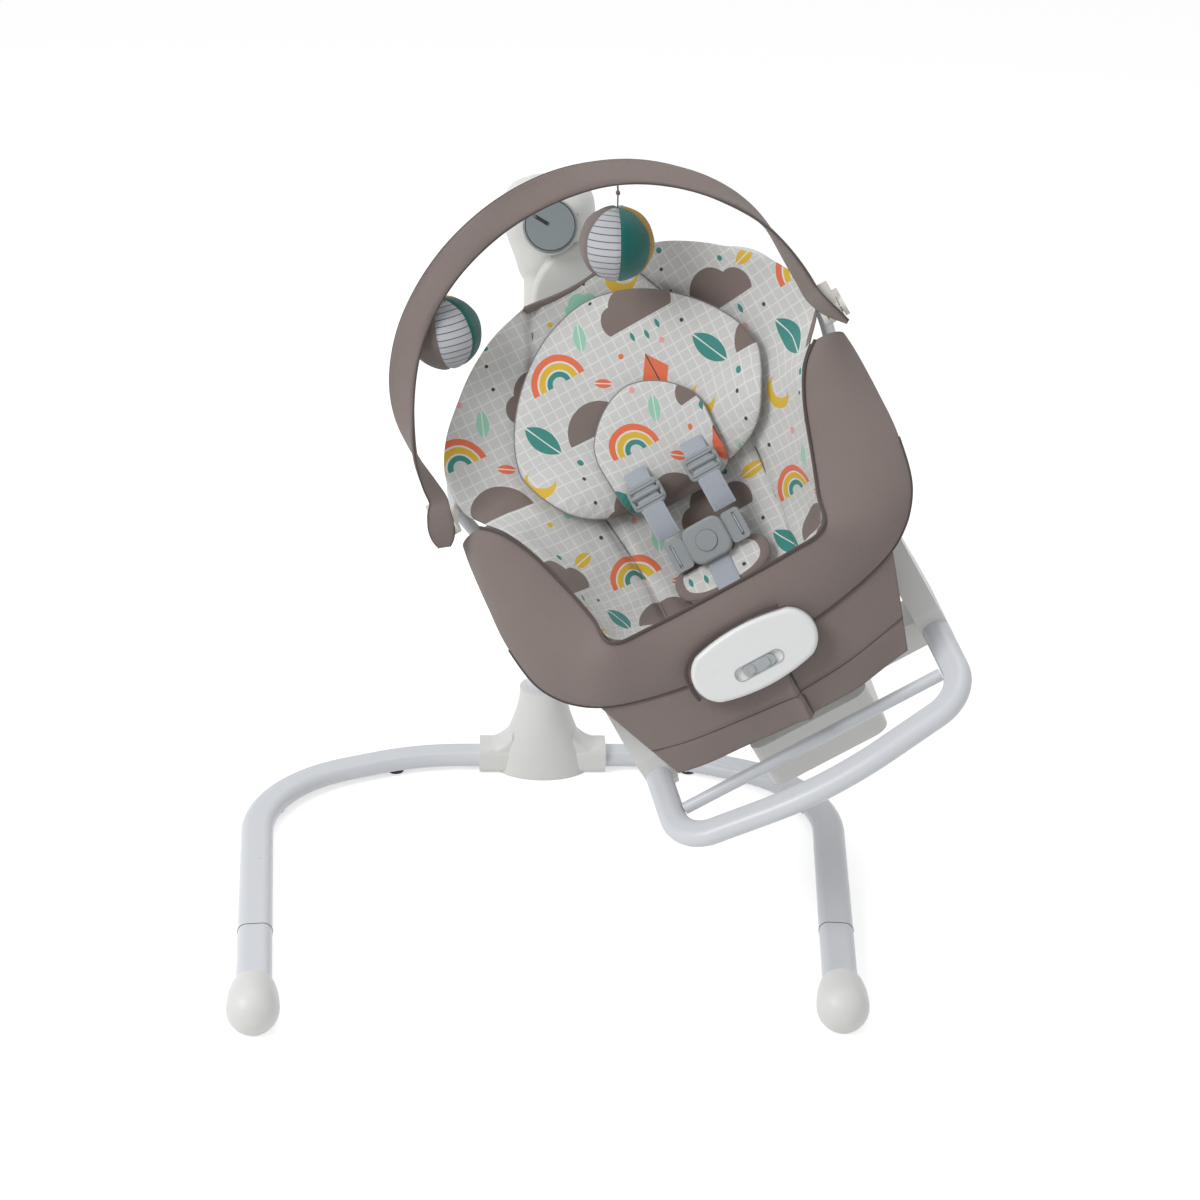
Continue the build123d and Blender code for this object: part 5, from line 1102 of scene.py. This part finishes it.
# %% Bar ends
leg = np.linspace(2, -37.9, 45)
eye_thick = np.maximum(np.sqrt(np.clip(64 - (leg + 30) ** 2, 0.05, 64)), np.where(leg > -30, 4.0, 0.1))
around = np.linspace(0, 2 * math.pi, 32, endpoint=False)
flat = np.stack(np.broadcast_arrays(np.linspace(0, 0.05, 33)[None], -leg[:, None] / 1000), -1)
for word, sign in (("left", -1), ("right", 1)):
    spine = BAR_MIDDLE + np.array((sign * 224.0, 0, 0)) + leg[:, None] * bar_up
    section_a = squared(np.cos(around), 0.3) * 7.5
    section_b = squared(np.sin(around), 0.3)
    points = (spine[:, None] + section_a[None, :, None] * RIGHT
              + (eye_thick[:, None] * section_b)[..., None] * bar_front)
    tongue = grid_mesh(f"bar_end_{word}", swayed(points), flat, [FINISHES["clip_plastic"]])
    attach(tongue, "bar")
print("bar ends: 2")

# %% [markdown]
# Each toy is a plush ball of six gores on a short string. The gores meet in seams that run from pole to
# pole, so the sphere is pulled in a little along six meridians. One gore is striped, and the others are
# plain velour.


# %% Toy balls
def striped_cloth(name):
    """Pale jersey with thin dark stripes across the gore."""
    material, tree, shader = blank(name)
    place = cloth_place(tree)
    split = weave(tree, shader, place, 0.0012, 0.0002)
    stripe = calc(tree, "LESS_THAN", calc(tree, "PINGPONG", split.outputs[1], 0.0036), 0.00055)
    tone = calc(tree, "MULTIPLY", grain(tree, place, 500.0), 0.12)
    colour = layer(tree, paint(206, 208, 214), paint(96, 98, 110), stripe)
    tree.links.new(layer(tree, colour, (0.3, 0.3, 0.32, 1.0), tone), shader.inputs["Base Color"])
    shader.inputs["Roughness"].default_value = 0.85
    shader.inputs["Sheen Weight"].default_value = 0.2
    return material


STRIPED = striped_cloth("striped_jersey")
TEAL = plain_cloth("teal_velour", (4, 108, 100), 0.0007, 0.0002, 0.9, 0.5)
MUSTARD = plain_cloth("mustard_velour", (206, 158, 40), 0.0007, 0.0002, 0.9, 0.5)
GORES = (TAUPE, STRIPED, TEAL, MUSTARD)
GORE_ORDER = (2, 3, 1, 2, 0, 1)
BALL = 0.038


def plush_ball(node, name, first, lean):
    """A gored ball in the place of a plain one; first turns its seams and lean tips its poles, in degrees."""
    low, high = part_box(node)
    middle = np.array(((low.x + high.x) / 2, (low.y + high.y) / 2, low.z + BALL))
    polar = np.concatenate([[0.015], np.linspace(0.06, math.pi - 0.06, 61), [math.pi - 0.015]])[:, None]
    columns = 144
    turn = np.linspace(0, 2 * math.pi, columns, endpoint=False)[None]
    inside = (turn / (math.pi / 3)) % 1.0
    seam = np.exp(-(np.minimum(inside, 1 - inside) * 60 * np.sin(polar) / 3.4) ** 2)
    radius = BALL * (1 - 0.035 * seam - 0.02 * np.exp(-(np.minimum(polar, math.pi - polar) / 0.16) ** 2))
    radius = radius + 0.00035 * rough_field(polar * 4, np.cos(turn) * 4, 13)
    bearing = turn + math.radians(first - 90)
    x, y, z = np.broadcast_arrays(np.sin(polar) * np.cos(bearing), np.sin(polar) * np.sin(bearing),
                                  np.cos(polar))
    tip = math.radians(lean)
    x, z = x * math.cos(tip) + z * math.sin(tip), z * math.cos(tip) - x * math.sin(tip)
    points = middle + radius[..., None] * np.stack((x, y, z), -1)
    wide = np.linspace(0, 2 * math.pi, columns + 1)[None]
    flat = np.stack(np.broadcast_arrays(wide * BALL * np.sin(polar), -polar * BALL), -1)
    ball = grid_mesh(name, points, flat, GORES, lambda row, column: GORE_ORDER[column * 6 // columns])
    return ball, middle


print("ball cloths:", len(GORES))

# %% [markdown]
# A ball hangs on a string from a bead at its hinge, and a short loop ties the bead to the bar. The string
# turns with the ball; the loop stays with the bar.

# %% Toys on their strings
STRING = plain_cloth("toy_string", (120, 118, 118), 0.0008, 0.0001)
hangs = {joint["child"]: np.array(joint["pos_m"]) for joint in frame["joints"] if "pos_m" in joint}
for node, name, body, first, lean in (("toy_ball_1", "plush_ball_1", "ball_1", 4, 0),
                                      ("toy_ball_2", "plush_ball_2", "ball_2", 50, -12)):
    ball, middle = plush_ball(node, name, first, lean)
    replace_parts(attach(ball, body), node)
    hang = hangs[body]
    reach = np.linalg.norm(middle - hang) - BALL + 0.002
    drop = hang + unit(middle - hang) * np.linspace(0, reach, 6)[:, None]
    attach(tube(f"{name}_string", drop, 0.0008, STRING, 8), body)
    knot = hang + np.array((0.0, 1.0, 0.0)) * np.linspace(-0.0024, 0.0024, 5)[:, None]
    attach(tube(f"{name}_bead", knot, 0.0022, STRING, 12), body)
    loop_way = np.array((-0.0004, 0.0, 0.007) if body == "ball_1" else (0.0, -0.006, 0.0))
    loop = hang + loop_way * np.linspace(0, 1, 5)[:, None]
    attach(tube(f"{name}_loop", loop, 0.0009, STRING, 8), "bar")
    print(name, "middle", [round(float(value), 3) for value in middle])
